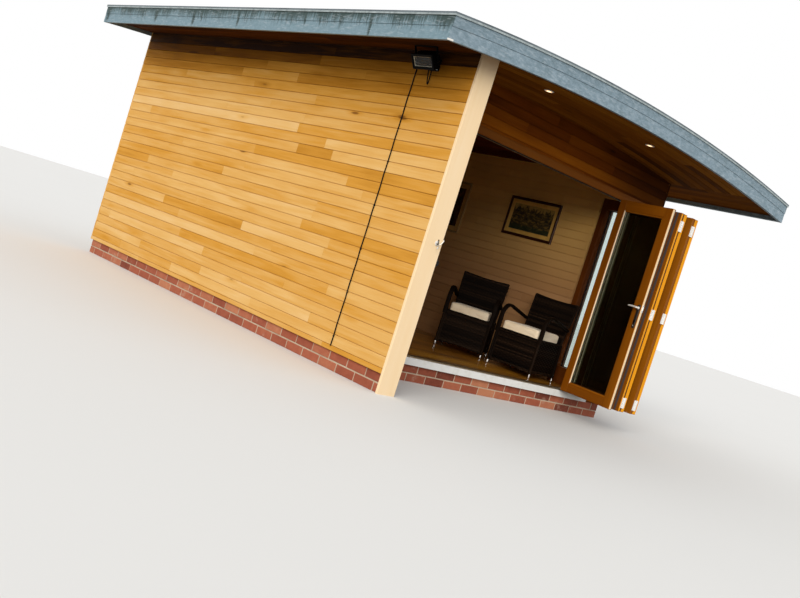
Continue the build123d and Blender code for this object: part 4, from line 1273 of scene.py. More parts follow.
wallCable = {
    "y": -1.855, "low": 0.175, "high": 2.315, "radius": 0.005,
    "clipStep": 0.34, "firstClip": 0.08, "clip": 0.006, "pin": 0.0022, "pinAway": 0.0105,
    # section of a saddle clip: sideways, out from the wall
    "bow": (
        (-0.0085, 0.0), (-0.0062, 0.0), (-0.0058, 0.006), (-0.003, 0.0098), (0.003, 0.0098), (0.0058, 0.006),
        (0.0062, 0.0), (0.0085, 0.0), (0.0085, 0.002), (0.0072, 0.007), (0.0037, 0.0113), (-0.0037, 0.0113),
        (-0.0072, 0.007), (-0.0085, 0.002),
    ),
}


def buildCable():
    # runs up the wall, not quite straight, and bends into the lamp's plate
    c = wallCable
    stock = Stock("wallCable", "cable", "hingePaint")
    x, y, high = -outer - c["radius"], c["y"], c["high"]
    path = [(x, y + 0.0012 * math.sin(5.1 * k) + 0.0008 * math.sin(2.3 * k + 1), level)
            for k, level in enumerate(steps(c["low"], high, 40))]
    bend = [path[-1], (x, y - 0.004, high + 0.03), (x, y - 0.04, high + 0.052), (x, y - 0.152, high + 0.056)]
    stock.tube(path[:-1] + smoothPath(bend), c["radius"], 12)
    # saddle clips, each with its pin
    level, half = c["low"] + c["firstClip"], c["clip"] / 2
    while level < high - 0.05:
        stock.sweep(c["bow"], (level - half, level + half), lambda u, v, w: Vector((-outer - w, y + v, u)))
        stock.bead((-outer - 0.0015, y + c["pinAway"], level), c["pin"], 1)
        level += c["clipStep"]
    stock.make("lamp", "flood_light_cable", smooth=40)


downlight = {
    "places": ((-0.864, -2.28), (0.571, -2.28)), "rim": 0.042, "body": 0.034, "glass": 0.026,
    "recess": 0.012, "thickness": 0.004, "height": 0.09, "sides": 40,
}


def buildDownlights():
    # two round lamps let into the veranda's boards
    d = downlight
    rim, glass, body = d["rim"], d["glass"], d["body"]
    stock = Stock("downlights", "whitePaint", "lampGlow", "chrome", "lampHalo")
    for x, y in d["places"]:
        top = arch(abs(x) + rim) + pod["soffit"]
        low = top - d["thickness"]
        deep = low + d["recess"]
        # turned profile of the rim, going round it
        profile = [(rim, top), (rim, top - 0.0012), (rim - 0.003, low + 0.0005), (rim - 0.006, low),
                   (glass + 0.004, low), (glass, low + 0.002), (glass - 0.001, deep),
                   (glass + 0.003, deep + 0.002), (body, top + 0.03), (body, top)]
        stock.lathe(profile, (x, y), d["sides"])
        # lens hangs a little below the rim, bright in its middle
        lens = [(0.0, low - 0.0035), (0.008, low - 0.003), (0.015, low - 0.0015), (0.019, low)]
        stock.lathe([*lens, (0.019, low + 0.003), (0.0, low + 0.003)], (x, y), d["sides"], look=1)
        # an orange ring round the lens that glows: painted glow round the lamp
        halo = [(0.0192, low + 0.003), (0.0192, low - 0.0002), (0.023, low - 0.0006),
                (glass + 0.0035, low - 0.0004), (glass + 0.0035, low + 0.003)]
        stock.lathe(halo, (x, y), d["sides"], look=3)
        stock.lathe(oblong(0.0, body, top + 0.03, top + d["height"]), (x, y), 24)
    stock.make("white_hardware", "downlights", smooth=35)
    print("lamps made")


# door furniture
handle = {
    "plate": (0.03, 0.22, 0.008), "plateLevel": 1.093, "leverLevel": 1.173,
    "length": 0.105, "standoff": 0.045, "radius": 0.0105, "thickness": 0.014, "inset": 0.024,
    "keyDrop": 0.045, "key": 0.017,
    "screwAway": 0.0855, "screw": 0.0036, "lockScrewAway": 0.026, "lockScrew": 0.0032,
    # lock plate and latch in the leaf's edge: in, out, half height, half width, edge
    "lock": ((-0.001, 0.0012, 0.034, 0.011, 0.0006), (0, 0.008, 0.014, 0.007, 0.002)),
}
hinge = {"gap": 0.0004, "bevel": 0.0008, "screw": 0.0038, "screwStep": 0.033, "stagger": 0.004}


def hingeFlap(stock, place, end, side, level):
    # flap let on to a leaf's end, with three screws
    d = doors
    out = d["hingeFlap"] * (1 if end else -1)
    u = leafWidth if end else 0.0
    t = d["thickness"] / 2
    near, far = (t - d["hingeReach"], t) if side > 0 else (-t, -t + d["hingeReach"])
    v = level - leafLow
    low = (min(u, u + out), v - d["hingeHeight"] / 2 + 0.001, near)
    high = (max(u, u + out), v + d["hingeHeight"] / 2 - 0.001, far)
    slab(stock, low, high, turned=place, edge=hinge["bevel"])
    for k in (-1, 0, 1):
        offset = hinge["stagger"] if k else -hinge["stagger"]
        head = place(u + out * 0.98, v + k * hinge["screwStep"], (near + far) / 2 + offset * side)
        stock.bead(head, hinge["screw"], 1)


def knuckle(stock, x, y, level):
    # five sleeves on one pin
    r, tall, bevel = doors["hingeRadius"], doors["hingeHeight"], hinge["bevel"]
    low, step = level - tall / 2, tall / 5
    for k in range(5):
        a, b = low + k * step + hinge["gap"], low + (k + 1) * step - hinge["gap"]
        sleeve = [(0, a), (r - bevel, a), (r, a + bevel), (r, b - bevel), (r - bevel, b), (0, b)]
        stock.lathe(sleeve, (x, y), 20)
    for radius, a, b, sides in ((0.0055, -0.0001, 0.0006, 16), (0.0055, tall - 0.0006, tall + 0.0001, 16),
                                (0.004, 0.0005, tall - 0.0005, 12)):
        stock.lathe(oblong(0, radius, low + a, low + b), (x, y), sides, look=1)


def buildHinges():
    # three rows: each leaf hangs on the next one, the last on the jamb
    d = doors
    stock = Stock("hinges", "hingePaint", "chrome")
    low, high = leafLow + d["hingeRise"], leafLow + leafHeight - d["hingeDrop"]
    t, r = d["thickness"] / 2, d["hingeRadius"]
    for level in (low, (low + high) / 2, high):
        for number in range(1, d["count"]):
            end = number % 2 == 0
            first, second = leafPlace(number), leafPlace(number + 1)
            u = leafWidth if end else 0.0
            a, b = first(u, 0, -t), second(u, 0, t)
            away = -1 if end else 1
            knuckle(stock, (a.x + b.x) / 2, (a.y + b.y) / 2 + away * (r + d["hingeAway"]), level)
            hingeFlap(stock, first, end, -1, level)
            hingeFlap(stock, second, end, 1, level)
        last = leafPlace(d["count"])
        corner = last(0, 0, -t)
        x, y = openRight + r, corner.y + r
        knuckle(stock, x, y, level)
        hingeFlap(stock, last, False, -1, level)
        half = d["hingeHeight"] / 2
        slab(stock, (x, y, level - half), (x + r, d["frameFront"], level + half), edge=hinge["bevel"],
             along=2)
        slab(stock, (corner.x - 0.008, corner.y + 0.0015, level - half), (x, corner.y + 0.0045, level + half),
             edge=0.0005, along=2)
    stock.make("white_hardware", "door_hinges", smooth=35)


def buildHandle():
    # plate, lever and keyhole on the lead leaf, with the lock in its edge
    h = handle
    lead = leafPlace(1)
    t = doors["thickness"] / 2
    middle = leafWidth - h["inset"]
    wide, tall, thick = h["plate"]
    level, lever = h["plateLevel"] - leafLow, h["leverLevel"] - leafLow
    key = level - h["keyDrop"]
    r, neckEnd = h["radius"], thick + h["standoff"] - h["thickness"]
    at = lambda height: lambda u, v, w: lead(middle + v, height + w, t + u)
    stock = Stock("handle", "lockMetal", "leverMetal", "blackPaint")

    def plate(u):
        shrink = max(0, u - thick * 0.6) * 0.8
        return roundedOblong(wide - 2 * shrink, tall - 2 * shrink, wide / 3, 6)

    stock.sweep(plate, (0, thick * 0.6, thick * 0.85, thick), at(level))
    # neck, then the lever that turns towards the leaf's middle and tapers
    neck = {thick: 0.0135, thick + 0.004: 0.013, thick + 0.006: 0.0085, neckEnd: r * 0.8}
    stock.sweep(lambda u: oval(2 * neck[u], 2 * neck[u]), list(neck), at(lever), look=1)
    out = neckEnd + h["thickness"] / 2
    bar = [lead(middle + r * 0.8 - (h["length"] - 0.003) * a, lever + 0.0015 * math.sin(math.pi * a),
                t + out - 0.001 - 0.004 * a ** 3) for a in steps(0, 1, 24)]
    taper = lambda share: r * (0.72 if share == 0 else 0.98 - 0.22 * share) * (0.7 if share == 1 else 1)
    stock.tube(bar, taper, 14, look=1, squash=0.8)
    # keyhole cylinder, its slot and the plate's screws
    for outline, low, high in (
        (oval(h["key"], h["key"]), 0, 0.003), (oblong(-0.0045, 0.0045, -0.016, 0), 0, 0.0025),
        (oblong(-0.0009, 0.0009, -0.0045, 0.0045), 0.003, 0.0033),
    ):
        stock.sweep(outline, (thick + low, thick + high), at(key), look=2)
    for dz in (-h["screwAway"], h["screwAway"]):
        stock.bead(lead(middle, level + dz, t + thick), h["screw"], 1)
    stock.make("hardware", "door_handle", smooth=35)
    lock = Stock("lockPlate", "lockMetal", "leverMetal")
    for near, far, tall, wide, edge in h["lock"]:
        slab(lock, (leafWidth + near, lever - tall, -wide), (leafWidth + far, lever + tall, wide),
             turned=lead, along=1, edge=edge, look=1)
    for dz in (-h["lockScrewAway"], h["lockScrewAway"]):
        lock.bead(lead(leafWidth + 0.0012, lever + dz, 0), h["lockScrew"])
    lock.make("hardware", smooth=35)
    print("door furniture made")


# pictures
pictures = {
    "depth": 0.02,
    "landscape": {"y": -0.245, "z": 1.798, "size": (0.745, 0.44), "frame": 0.03, "mount": 0.046, "inset": 0},
    "portrait": {"y": 1.04, "z": 1.742, "size": (0.47, 0.62), "frame": 0.018, "mount": 0.062, "inset": 0.018},
}


def paperFinish(name, shade, worn):
    # mount board behind a picture's glass
    finish = Finish(name, Coat_Weight=0.15, Coat_Roughness=0.1)
    place = finish.position()
    fibre = finish.noise(place, 900.0, 3.0, 0.6)
    age = finish.noise(place, 9.0, 3.0)
    colour = finish.mix(finish.fade(age, 0.4, 0.7) * 0.5, shade, worn)
    return finish.surface(colour, 0.75 + fibre * 0.15, fibre, 0.00015)


def landscapeFinish(name):
    # a made-up view of dim woods over a field, in loose brush marks
    finish = Finish(name, Coat_Weight=0.15, Coat_Roughness=0.1)
    place = finish.position()
    up = (finish.parts(place)[2] - (pictures["landscape"]["z"] - 0.15)) * (1 / 0.3)
    stroke = finish.noise(finish.stretch(place, (1.0, 12.0, 30.0)), 1.6, 4.0, 0.6, 0.6)
    crown = finish.noise(finish.stretch(place, (1.0, 26.0, 9.0)), 1.0, 4.0, 0.6, 0.3)
    ridge = 0.86 + (crown - 0.5) * 0.9
    sky = finish.ramp(stroke + up * 0.25, (0.3, "6e5a28"), (0.55, "967a38"), (0.85, "b8984e"))
    wood = finish.ramp(stroke, (0.35, "1a140a"), (0.5, "483a1a"), (0.65, "8e7232"))
    field = finish.ramp(stroke + up * 0.3, (0.3, "10160a"), (0.55, "222c12"), (0.8, "58502a"))
    colour = finish.mix(finish.fade(up - ridge, -0.03, 0.03), wood, sky)
    colour = finish.mix(finish.fade(up + (stroke - 0.5) * 0.2, 0.24, 0.18), colour, field)
    return finish.surface(colour, 0.55 + stroke * 0.2, stroke, 0.0004)


def leavesFinish(name):
    # plain dark leaf shapes on a brown ground
    finish = Finish(name, Coat_Weight=0.15, Coat_Roughness=0.1)
    place = finish.position()
    wave = finish.noise(place, 7.0, 3.0)
    wide = finish.stretch(place, (1.0, 16.0, 7.0))
    spot = finish.put("ShaderNodeVectorMath", {"operation": "ADD"}, [wide, (0.3, 0.1, 0.2)])
    leaf = finish.fade(finish.cells(spot, 1.0) + (wave - 0.5) * 0.25, 0.42, 0.36)
    vein = finish.fade(finish.cells(spot, 1.0, feature="DISTANCE_TO_EDGE"), 0.02, 0.05)
    colour = finish.mix(leaf * vein, "3d2514", "120c08")
    colour = finish.mix(finish.fade(wave, 0.55, 0.62) * 0.5, colour, "6a3a1c")
    return finish.surface(colour, 0.5 + wave * 0.2, wave, 0.0004)


def buildPictures():
    # two framed pictures on the right wall
    for name, kind, *values in (
        ("mountBoard", paperFinish, "e4b458", "cc983c"), ("tanMount", paperFinish, "c99d56", "b3863f"),
        ("landscapePaint", landscapeFinish), ("leavesPaint", leavesFinish),
    ):
        finishes[name] = kind(name, *values)
    looks = {"landscape": ("pictureWood", "mountBoard", "landscapePaint", "goldWood"),
             "portrait": ("goldWood", "tanMount", "leavesPaint", "pictureWood")}
    for name, names in looks.items():
        p, depth = pictures[name], pictures["depth"]
        (wide, tall), f, m, inset = p["size"], p["frame"], p["mount"], p["inset"]
        place = lambda a, b, c, p=p: Vector((roomHalf - c, p["y"] - a, p["z"] + b))
        stock = Stock(name + "Picture", *names)
        moulding = [(0, 0), (f, 0), (f, depth * 0.62), (f - 0.004, depth * 0.75), (f * 0.5, depth),
                    (0.003, depth * 0.92), (0, depth * 0.8)]
        stock.ring(place, wide, tall, moulding)
        stock.ring(place, wide - 2 * f + 0.001, tall - 2 * f + 0.001,
                   [(0, depth * 0.4), (0.004, depth * 0.4), (0.004, depth * 0.55), (0, depth * 0.6)],
                   0.6, look=3)
        # mount cut to a bevelled window, then the sheet behind it
        stock.ring(place, wide - 2 * f + 0.002, tall - 2 * f + 0.002,
                   [(0, 0.004), (m, 0.004), (m, 0.0045), (m - 0.0025, 0.0075), (0, 0.0075)], look=1)
        w, t = (wide - 2 * f - 2 * m) / 2 + 0.004, (tall - 2 * f - 2 * m) / 2 + 0.004
        stock.sweep(oblong(-t, t, 0.0, 0.0044), (-w, w), place, look=2)
        if inset:
            stock.ring(place, 2 * w - 0.008, 2 * t - 0.008, oblong(0, inset, 0.0045, 0.011), look=3)
        stock.make("picture", "wall_pictures", smooth=30)
    print("pictures made")


# armchairs
chair = {
    "places": ((0.877, -0.521, -53.7), (0.968, -1.164, -77.9)),
    "width": 0.544, "depth": 0.6, "seat": 0.392, "seatWidth": 0.486, "panel": 0.022, "lean": 0.075,
    "backTop": 0.836, "backWidth": 0.525, "dip": 0.014, "skirtLow": 0.046, "skirtArch": 0.014,
    "arm": 0.645, "armWidth": 0.046, "armRadius": 0.118, "armSlope": math.radians(12), "leg": 0.028,
    "foot": 0.04, "strand": 0.0145, "stake": 0.034, "swing": 0.003, "flat": 0.002, "wrap": 0.0056,
    "proud": 0.0009, "stoutFoot": 0.0075, "stoutArch": 0.0085,
    "liner": -0.007, "shortest": 0.012, "linings": 18,
    # steps of the arm band: up the front leg, round the bend, back to the chair's back
    "armSteps": (30, 36, 66), "armEdge": 0.0085,
}


def chairPlace(number):
    # from a chair's own frame to space
    x, y, turn = chair["places"][number]
    turned = Matrix.Translation((x, y, pod["floor"])) @ Matrix.Rotation(math.radians(turn), 4, "Z")
    return lambda a, b, c: turned @ Vector((a, b, c))


def weave(stock, dice, place, low, high, span):
    # flat strands that pass over and under upright stakes; span gives the row's stretches
    c = chair
    rows = round((high - low) / c["strand"])
    pitch = (high - low) / rows
    for row in range(rows):
        v0 = low + (row + 0.5) * pitch
        tone = held(dice.gauss(0.5, 0.2), 0.05, 0.95)
        for a, b in span(v0):
            if b - a < c["shortest"]:
                continue
            count = max(2, round((b - a) / (c["stake"] / 4)))

            def outline(u, v0=v0, row=row):
                w = -c["swing"] - c["flat"] + c["swing"] * math.cos(math.pi * (u / c["stake"] + row))
                return [(v0 - pitch * 0.49, w), (v0, w + c["flat"]),
                        (v0 + pitch * 0.49, w), (v0, w - c["flat"])]

            stock.sweep(outline, steps(a, b, count), place, tone, drift(dice, 9))


def rim(stock, dice, path, radius, sides=12):
    # an edge or leg wrapped in strand: finely stepped, each turn standing a little proud
    spots = [Vector(p) for p in path]
    fine = [spots[0]]
    for a, b in zip(spots, spots[1:]):
        count = max(1, round((b - a).length / chair["wrap"]))
        fine += [a.lerp(b, (k + 1) / count) for k in range(count)]
    stock.tube(fine, radius - chair["proud"], sides, dice.gauss(0.5, 0.1), ridge=chair["proud"])


def buildChair(number):
    # woven box on four sides, seat and back over it, wrapped arms, legs with metal feet
    c = chair
    dice = random.Random(71 + number)
    spot = chairPlace(number)
    stock = Stock(f"armchair{number + 1}", "rattan", "footMetal", "rubber")
    half, front, back = c["seatWidth"] / 2, c["leg"] / 2, c["depth"] - c["lean"] - c["panel"]
    top, t, low, rise, liner = c["seat"], c["panel"], c["skirtLow"], c["skirtArch"], c["liner"]
    r = t / 2

    def arched(width):
        # parts of a row left of and right of the arch over the floor
        inner = width / 2 - t
        radius = (inner ** 2 + rise ** 2) / (2 * rise)

        def span(v):
            if v >= low + rise:
                return [(-width / 2 + r, width / 2 - r)]
            reach = math.sqrt(max(0, radius ** 2 - (v - low + radius - rise) ** 2))
            return [(-width / 2 + r, -reach), (reach, width / 2 - r)]

        line = [(u, low + rise - radius + math.sqrt(radius ** 2 - u * u)) for u in steps(-inner, inner, 24)]
        return span, line

    deep, middle = back - front, (back + front) / 2
    walls = (
        (c["seatWidth"], lambda u, v, w: spot(u, front - w, v)),
        (c["seatWidth"], lambda u, v, w: spot(u, back + w, v)),
        (deep, lambda u, v, w: spot(-half - w, middle + u, v)),
        (deep, lambda u, v, w: spot(half + w, middle + u, v)),
    )
    for width, place in walls:
        span, line = arched(width)
        weave(stock, dice, place, low + 0.004, top - r, span)
        # lining behind the weave, and the wrapped edge of the arch
        inner = width / 2 - t
        for a, b in zip(line, line[1:]):
            stock.sweep(oblong(a[1], top - 0.004, liner, -t + 0.003), (a[0], b[0]), place, 0.2)
        for side in (-1, 1):
            ends = sorted((side * inner, side * (width / 2 + liner)))
            stock.sweep(oblong(low, top - 0.004, liner, -t + 0.003), ends, place, 0.2)
            hem = [place(side * u, low + 0.006, -r) for u in (width / 2 - r, inner)]
            rim(stock, dice, hem, c["stoutFoot"], 8)
        rim(stock, dice, [place(u, v + 0.006, -r) for u, v in line], c["stoutArch"], 10)
    for x in (-half + r, half - r):
        for y in (front + r, back - r):
            rim(stock, dice, [spot(x, y, low), spot(x, y, top - r)], r)
    corners = [(-half + r, front + r), (half - r, front + r), (half - r, back - r), (-half + r, back - r)]
    for a, b in zip(corners, corners[1:] + corners[:1]):
        rim(stock, dice, [spot(a[0], a[1], top - r), spot(b[0], b[1], top - r)], r)
    # seat
    flat = lambda u, v, w: spot(u, v, top + w)
    weave(stock, dice, flat, front + t, back - 0.004, lambda v: [(-half + r, half - r)])
    stock.sweep(oblong(front + 0.01, back - 0.01, liner, -t + 0.002), (-half + 0.01, half - 0.01), flat, 0.2)

    # back: wider and lower in the middle along its top
    lean = math.atan2(c["lean"], c["backTop"] - top)
    length = (c["backTop"] - top) / math.cos(lean)
    ahead = (-math.cos(lean), math.sin(lean))

    def leaning(u, v, w):
        return spot(u, back + v * math.sin(lean) + w * ahead[0], top + v * math.cos(lean) + w * ahead[1])

    def wide(v):
        share = (v + t) / (length + t)
        return c["seatWidth"] / 2 * (1 - share) + c["backWidth"] / 2 * share

    topRadius = ((c["backWidth"] / 2) ** 2 + c["dip"] ** 2) / (2 * c["dip"])
    crest = lambda u: length - c["dip"] + topRadius - math.sqrt(topRadius ** 2 - u * u)

    def backSpan(v):
        reach = wide(v) - r
        hollow = v - (length - c["dip"]) + r
        if hollow <= 0:
            return [(-reach, reach)]
        inner = math.sqrt(max(0, topRadius ** 2 - (topRadius - hollow) ** 2))
        return [(-reach, -inner), (inner, reach)]

    weave(stock, dice, leaning, -t + 0.004, length - r, backSpan)
    weave(stock, dice, lambda u, v, w: leaning(u, v, -t - w), -t + 0.004, length - r, backSpan)
    shape = lambda v: wide(v) - 0.008
    ends = [(0, liner), (0.5, liner), (1, liner), (1, -t - liner), (0.5, -t - liner), (0, -t - liner)]
    for k in range(c["linings"]):
        a, b = -1 + 2 * k / c["linings"], -1 + 2 * (k + 1) / c["linings"]
        highA, highB = crest(a * shape(length)) - 0.008, crest(b * shape(length)) - 0.008

        def backLiner(u, v, w, highA=highA, highB=highB):
            share = (u - a) / (b - a)
            level = -t + 0.004 + v * ((highA * (1 - share) + highB * share) + t - 0.004)
            return leaning(u * shape(level), level, w)

        stock.sweep(ends, (a, b), backLiner, 0.2)
    crestLine = [share * (c["backWidth"] / 2 - r) for share in steps(-1, 1, 30)]
    rim(stock, dice, [leaning(u, crest(u) - r, -r) for u in crestLine], r)
    for side in (-1, 1):
        levels = (-t + 0.006, length * 0.5, length - r)
        rim(stock, dice, [leaning(side * (wide(v) - r), v, -r) for v in levels], r)

    # arms: a flat wrapped band that rises from the front leg and runs back to the chair's back
    legX = c["width"] / 2 - c["armWidth"] / 2
    hl = c["leg"] / 2
    bendY, bendZ = hl + c["armRadius"], c["arm"] - hl - c["armRadius"]
    footZ = top - c["armWidth"]
    upwards, turning, backwards = c["armSteps"]
    line = [(hl, footZ + (bendZ - footZ) * k / upwards, 0.0) for k in range(upwards)]
    for k in range(turning + 1):
        a = math.pi - k / turning * (math.pi / 2 + c["armSlope"])
        line.append((bendY + c["armRadius"] * math.cos(a), bendZ + c["armRadius"] * math.sin(a), math.pi - a))
    reach = back + t - bendY - c["armRadius"] * math.sin(c["armSlope"]) - 0.001
    last = line[-1]
    for k in range(1, backwards + 1):
        s = k / backwards
        line.append((last[0] + reach * s, last[1] - reach * s * math.tan(c["armSlope"]), last[2]))
    for side in (-1, 1):
        def armPlace(u, v, w, side=side):
            y, z, turn = line[int(u)]
            return spot(side * legX + v, y - w * math.cos(turn), z + w * math.sin(turn))

        def section(u):
            ridge = c["proud"] * (int(u) % 2)
            w, h = c["armWidth"] / 2 - c["proud"] + ridge, hl - c["proud"] + ridge
            return roundedOblong(2 * w, 2 * h, c["armEdge"], 3)

        stock.sweep(section, range(len(line)), armPlace, 0.5, (dice.uniform(0, 9), 0, 0))
        # front leg, link to the seat, back leg, feet
        rim(stock, dice, [spot(side * legX, hl, c["foot"]), spot(side * legX, hl, footZ + 0.01)], hl, 14)
        link = top - c["armWidth"] / 2
        rim(stock, dice, [spot(side * (half - t), hl, link), spot(side * legX, hl, link)], hl)
        rear = [spot(side * legX, back + hl, c["foot"]), spot(side * half, back + 0.004, top - 0.003)]
        rim(stock, dice, rear, hl - 0.0005, 14)
        for y in (hl, back + hl):
            foot = hl - 0.003
            stock.tube([spot(side * legX, y, z) for z in (0.004, 0.006, 0.02, c["foot"] - 0.002, c["foot"])],
                       lambda share: foot * (0.86 if share == 0 else 1), 18, look=1)
            stock.tube([spot(side * legX, y, z) for z in (0.0, 0.004)], foot * 0.78, 16, look=2)
    stock.make("rattan", f"armchair_{number + 1}", smooth=55)


# seat cushions, filled by a cloth simulation
cushion = {
    "width": 0.44, "depth": 0.499, "height": 0.088, "corner": 0.025, "start": 0.006, "voxel": 0.006,
    "pressure": 4.0, "frames": 20, "cap": 0.014, "piping": 0.0034, "stitches": 200, "fill": 0.8,
    "quality": 6, "mass": 0.3, "tension": 30, "shear": 12, "bending": 4,
    "proud": 0.0006, "easing": 6, "rounds": 8, "fromBack": 0.004, "above": 0.0003,
}


def evenly(spots, count):
    # the same closed line in equal steps
    loop = spots + [spots[0]]
    lengths = [0.0]
    for a, b in zip(loop, loop[1:]):
        lengths.append(lengths[-1] + (b - a).length)
    line, i = [], 0
    for k in range(count):
        want = lengths[-1] * k / count
        while lengths[i + 1] < want:
            i += 1
        line.append(loop[i].lerp(loop[i + 1], (want - lengths[i]) / (lengths[i + 1] - lengths[i])))
    return line


def buildCushion(number):
    # a flat case, remeshed, filled by pressure, held to the CAD solid's size, then piped
    q = cushion
    slack = q["start"]
    wide, deep, tall = q["width"] - 2 * slack, q["depth"] - 2 * slack, q["height"] - 2 * slack
    mesh = bpy.data.meshes.new(f"cushion{number + 1}")
    shape = bmesh.new()
    ring = [Vector(p) for p in roundedOblong(wide, deep, q["corner"], 7)]
    levels = (slack * 0.3, tall + slack * 0.3)
    rows = [[shape.verts.new((p.x, p.y, z)) for p in ring] for z in levels]
    for i in range(len(ring)):
        j = (i + 1) % len(ring)
        shape.faces.new((rows[0][i], rows[0][j], rows[1][j], rows[1][i]))
    shape.faces.new(rows[1])
    shape.faces.new(rows[0][::-1])
    shape.to_mesh(mesh)
    shape.free()
    piece = bpy.data.objects.new(mesh.name, mesh)
    bpy.context.scene.collection.objects.link(piece)
    remesh = piece.modifiers.new("remesh", "REMESH")
    remesh.mode, remesh.voxel_size = "VOXEL", q["voxel"]
    bpy.context.view_layer.update()
    mesh = bpy.data.meshes.new_from_object(piece.evaluated_get(bpy.context.evaluated_depsgraph_get()))
    piece.modifiers.clear()
    piece.data = mesh
    before = [v.co.copy() for v in mesh.vertices]
    cloth = piece.modifiers.new("cloth", "CLOTH")
    settings = cloth.settings
    settings.quality, settings.mass = q["quality"], q["mass"]
    settings.tension_stiffness = settings.compression_stiffness = q["tension"]
    settings.shear_stiffness, settings.bending_stiffness = q["shear"], q["bending"]
    settings.use_pressure, settings.uniform_pressure_force = True, q["pressure"] * (1 + 0.1 * number)
    settings.effector_weights.gravity = 0
    for step in range(1, q["frames"] + 1):
        bpy.context.scene.frame_set(step)
    after = piece.evaluated_get(bpy.context.evaluated_depsgraph_get())
    filled = [v.co.copy() for v in after.to_mesh().vertices]
    after.to_mesh_clear()
    piece.modifiers.clear()
    bpy.context.scene.frame_set(1)
    cap = q["cap"]
    for vertex, start, end in zip(mesh.vertices, before, filled):
        move = end - start
        if move.length > cap:
            move *= cap / move.length
        spot = start + move
        spot.x = held(spot.x, -q["width"] / 2, q["width"] / 2)
        spot.y = held(spot.y, -q["depth"] / 2, q["depth"] / 2)
        spot.z = held(spot.z, 0.0, q["height"] - 0.001)
        vertex.co = spot
    # sewn edge: piping that follows where the corner line of the case has gone
    tree = KDTree(len(before))
    for i, spot in enumerate(before):
        tree.insert(spot, i)
    tree.balance()
    cord = Stock("cord", "canvas")
    count = q["stitches"]
    for level in levels:
        seam = []
        for p in evenly(ring, count):
            found = tree.find((p.x, p.y, level))[1]
            seam.append(mesh.vertices[found].co + Vector((p.x, p.y, 0)).normalized() * q["proud"])
        for turn in range(q["easing"]):
            seam = [(seam[i - 1] + seam[i] * 2 + seam[(i + 1) % count]) / 4 for i in range(count)]
        cord.loop(seam, q["piping"], q["rounds"])
    fine = piece.modifiers.new("fine", "SUBSURF")
    fine.levels = fine.render_levels = 1
    body = bpy.data.meshes.new_from_object(piece.evaluated_get(bpy.context.evaluated_depsgraph_get()))
    piece.modifiers.clear()
    shape = bmesh.new()
    shape.from_mesh(body)
    added = [shape.verts.new(p) for p in cord.points]
    for face in cord.faces:
        shape.faces.new([added[i] for i in face])
    x, y, turn = chair["places"][number]
    back = chair["depth"] - chair["lean"] - chair["panel"] - q["fromBack"]
    seat = pod["floor"] + chair["seat"] + q["above"]
    turned = Matrix.Translation((x, y, seat)) @ Matrix.Rotation(math.radians(turn), 4, "Z")
    bmesh.ops.transform(shape, matrix=turned @ Matrix.Translation((0, back / 2, 0)), verts=shape.verts)
    bmesh.ops.recalc_face_normals(shape, faces=shape.faces)
    shape.to_mesh(body)
    shape.free()
    piece.data = body
    body.materials.clear()
    body.materials.append(finishes["canvas"])
    body.shade_smooth()
    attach(piece, "root")
    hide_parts("chair_cushions")
    print("cushion", number + 1, "made,", len(body.vertices), "points")


buildCladding()
buildLining()
buildSoffits()
buildFloor()
buildPlinth()
buildDoors()
buildSideWindow()
buildEndBoard()
buildHook()
buildFloodLight()
buildCable()
buildDownlights()
buildHinges()
buildHandle()
buildPictures()
for number in range(2):
    buildChair(number)
print("armchairs made")
for number in range(2):
    buildCushion(number)


# finishes on the frame's own nodes
kept = {
    "door_sill": "whitePaint", "left_wall": "framingZ", "back_wall": "framingZ", "right_wall": "framingZ",
    "window_lintel": "framingY", "corner_pier": "framingZ", "door_header": "framingX",
    "roof_deck": "framingX", "roof_covering": "membrane", "roof_edge_trim": "edgeTrim",
    "front_fascia": "fascia", "back_fascia": "fascia", "side_fascias": "fascia", "ceiling_cornice": "cornice",
}
for node, look in kept.items():
    mesh = nodes[node].data
    mesh.materials.clear()
    mesh.materials.append(finishes[look])
print("nodes dressed")


# studio: pale floor, white surround, soft light
studio = {
    "floor": "e4e2de", "cloud": "dcdad6", "under": "6f6a62", "half": 60,
    "sun": 2.6, "sunFrom": (-0.82, -0.66, 0.42), "softness": 38, "sunColour": (1.0, 0.96, 0.9),
    "sky": 0.8, "skyColour": (0.93, 0.96, 1.0, 1),
}


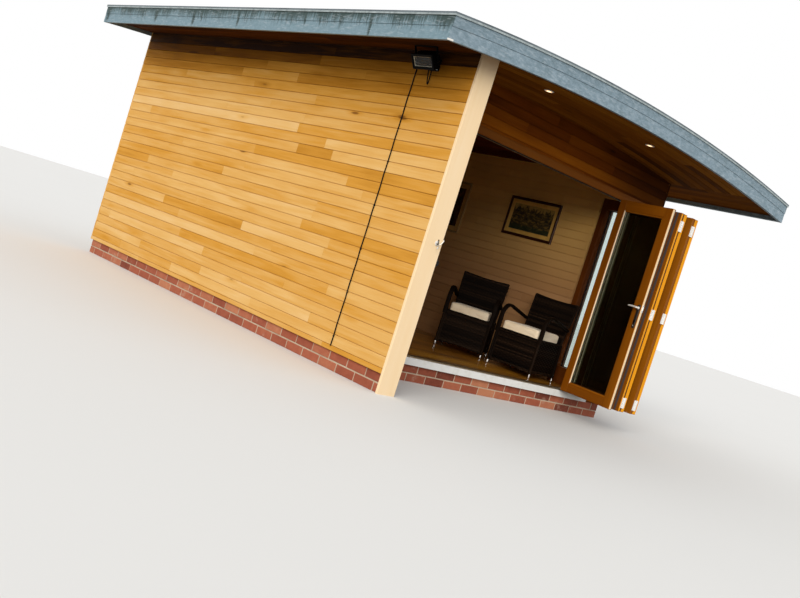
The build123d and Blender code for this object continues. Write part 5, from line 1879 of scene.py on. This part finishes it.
def seenStraight(tree):
    # 1 where the camera looks, straight on, by reflection or through glass
    path = tree.nodes.new("ShaderNodeLightPath")
    first = tree.nodes.new("ShaderNodeMath")
    second = tree.nodes.new("ShaderNodeMath")
    for node, a, b in ((first, path.outputs["Is Camera Ray"], path.outputs["Is Glossy Ray"]),
                       (second, first.outputs[0], path.outputs["Is Transmission Ray"])):
        node.operation = "MAXIMUM"
        tree.links.new(a, node.inputs[0])
        tree.links.new(b, node.inputs[1])
    return second.outputs[0]


floorMesh = bpy.data.meshes.new("studioFloor")
reach = studio["half"]
floorMesh.from_pydata([(x, y, 0) for x, y in oblong(-reach, reach, -reach, reach)], [], [(0, 1, 2, 3)])
studioFloor = bpy.data.objects.new("studioFloor", floorMesh)
bpy.context.scene.collection.objects.link(studioFloor)
floorFinish = Finish("studioFloor", Roughness=0.9)
dust = floorFinish.noise(floorFinish.position(), 0.6, 2.0)
straight = Wire(floorFinish, seenStraight(floorFinish.tree))
shown = floorFinish.mix(dust * 0.2, studio["floor"], studio["cloud"])
floorMesh.materials.append(floorFinish.link(Base_Color=floorFinish.mix(straight, studio["under"], shown)))

sun = bpy.data.objects.new("sun", bpy.data.lights.new("sun", "SUN"))
sun.data.energy = studio["sun"]
sun.data.angle = math.radians(studio["softness"])
sun.data.color = studio["sunColour"]
sun.rotation_mode = "QUATERNION"
sun.rotation_quaternion = Vector(studio["sunFrom"]).to_track_quat("Z", "Y")
bpy.context.scene.collection.objects.link(sun)

world = bpy.data.worlds.new("surround")
bpy.context.scene.world = world
world.use_nodes = True
tree = world.node_tree
tree.nodes.clear()
pale = tree.nodes.new("ShaderNodeBackground")
pale.inputs["Color"].default_value = (1, 1, 1, 1)
soft = tree.nodes.new("ShaderNodeBackground")
soft.inputs["Color"].default_value = studio["skyColour"]
soft.inputs["Strength"].default_value = studio["sky"]
both = tree.nodes.new("ShaderNodeMixShader")
out = tree.nodes.new("ShaderNodeOutputWorld")
tree.links.new(seenStraight(tree), both.inputs[0])
tree.links.new(soft.outputs[0], both.inputs[1])
tree.links.new(pale.outputs[0], both.inputs[2])
tree.links.new(both.outputs[0], out.inputs[0])
bpy.context.scene.view_settings.view_transform = "Standard"
print("studio lit")
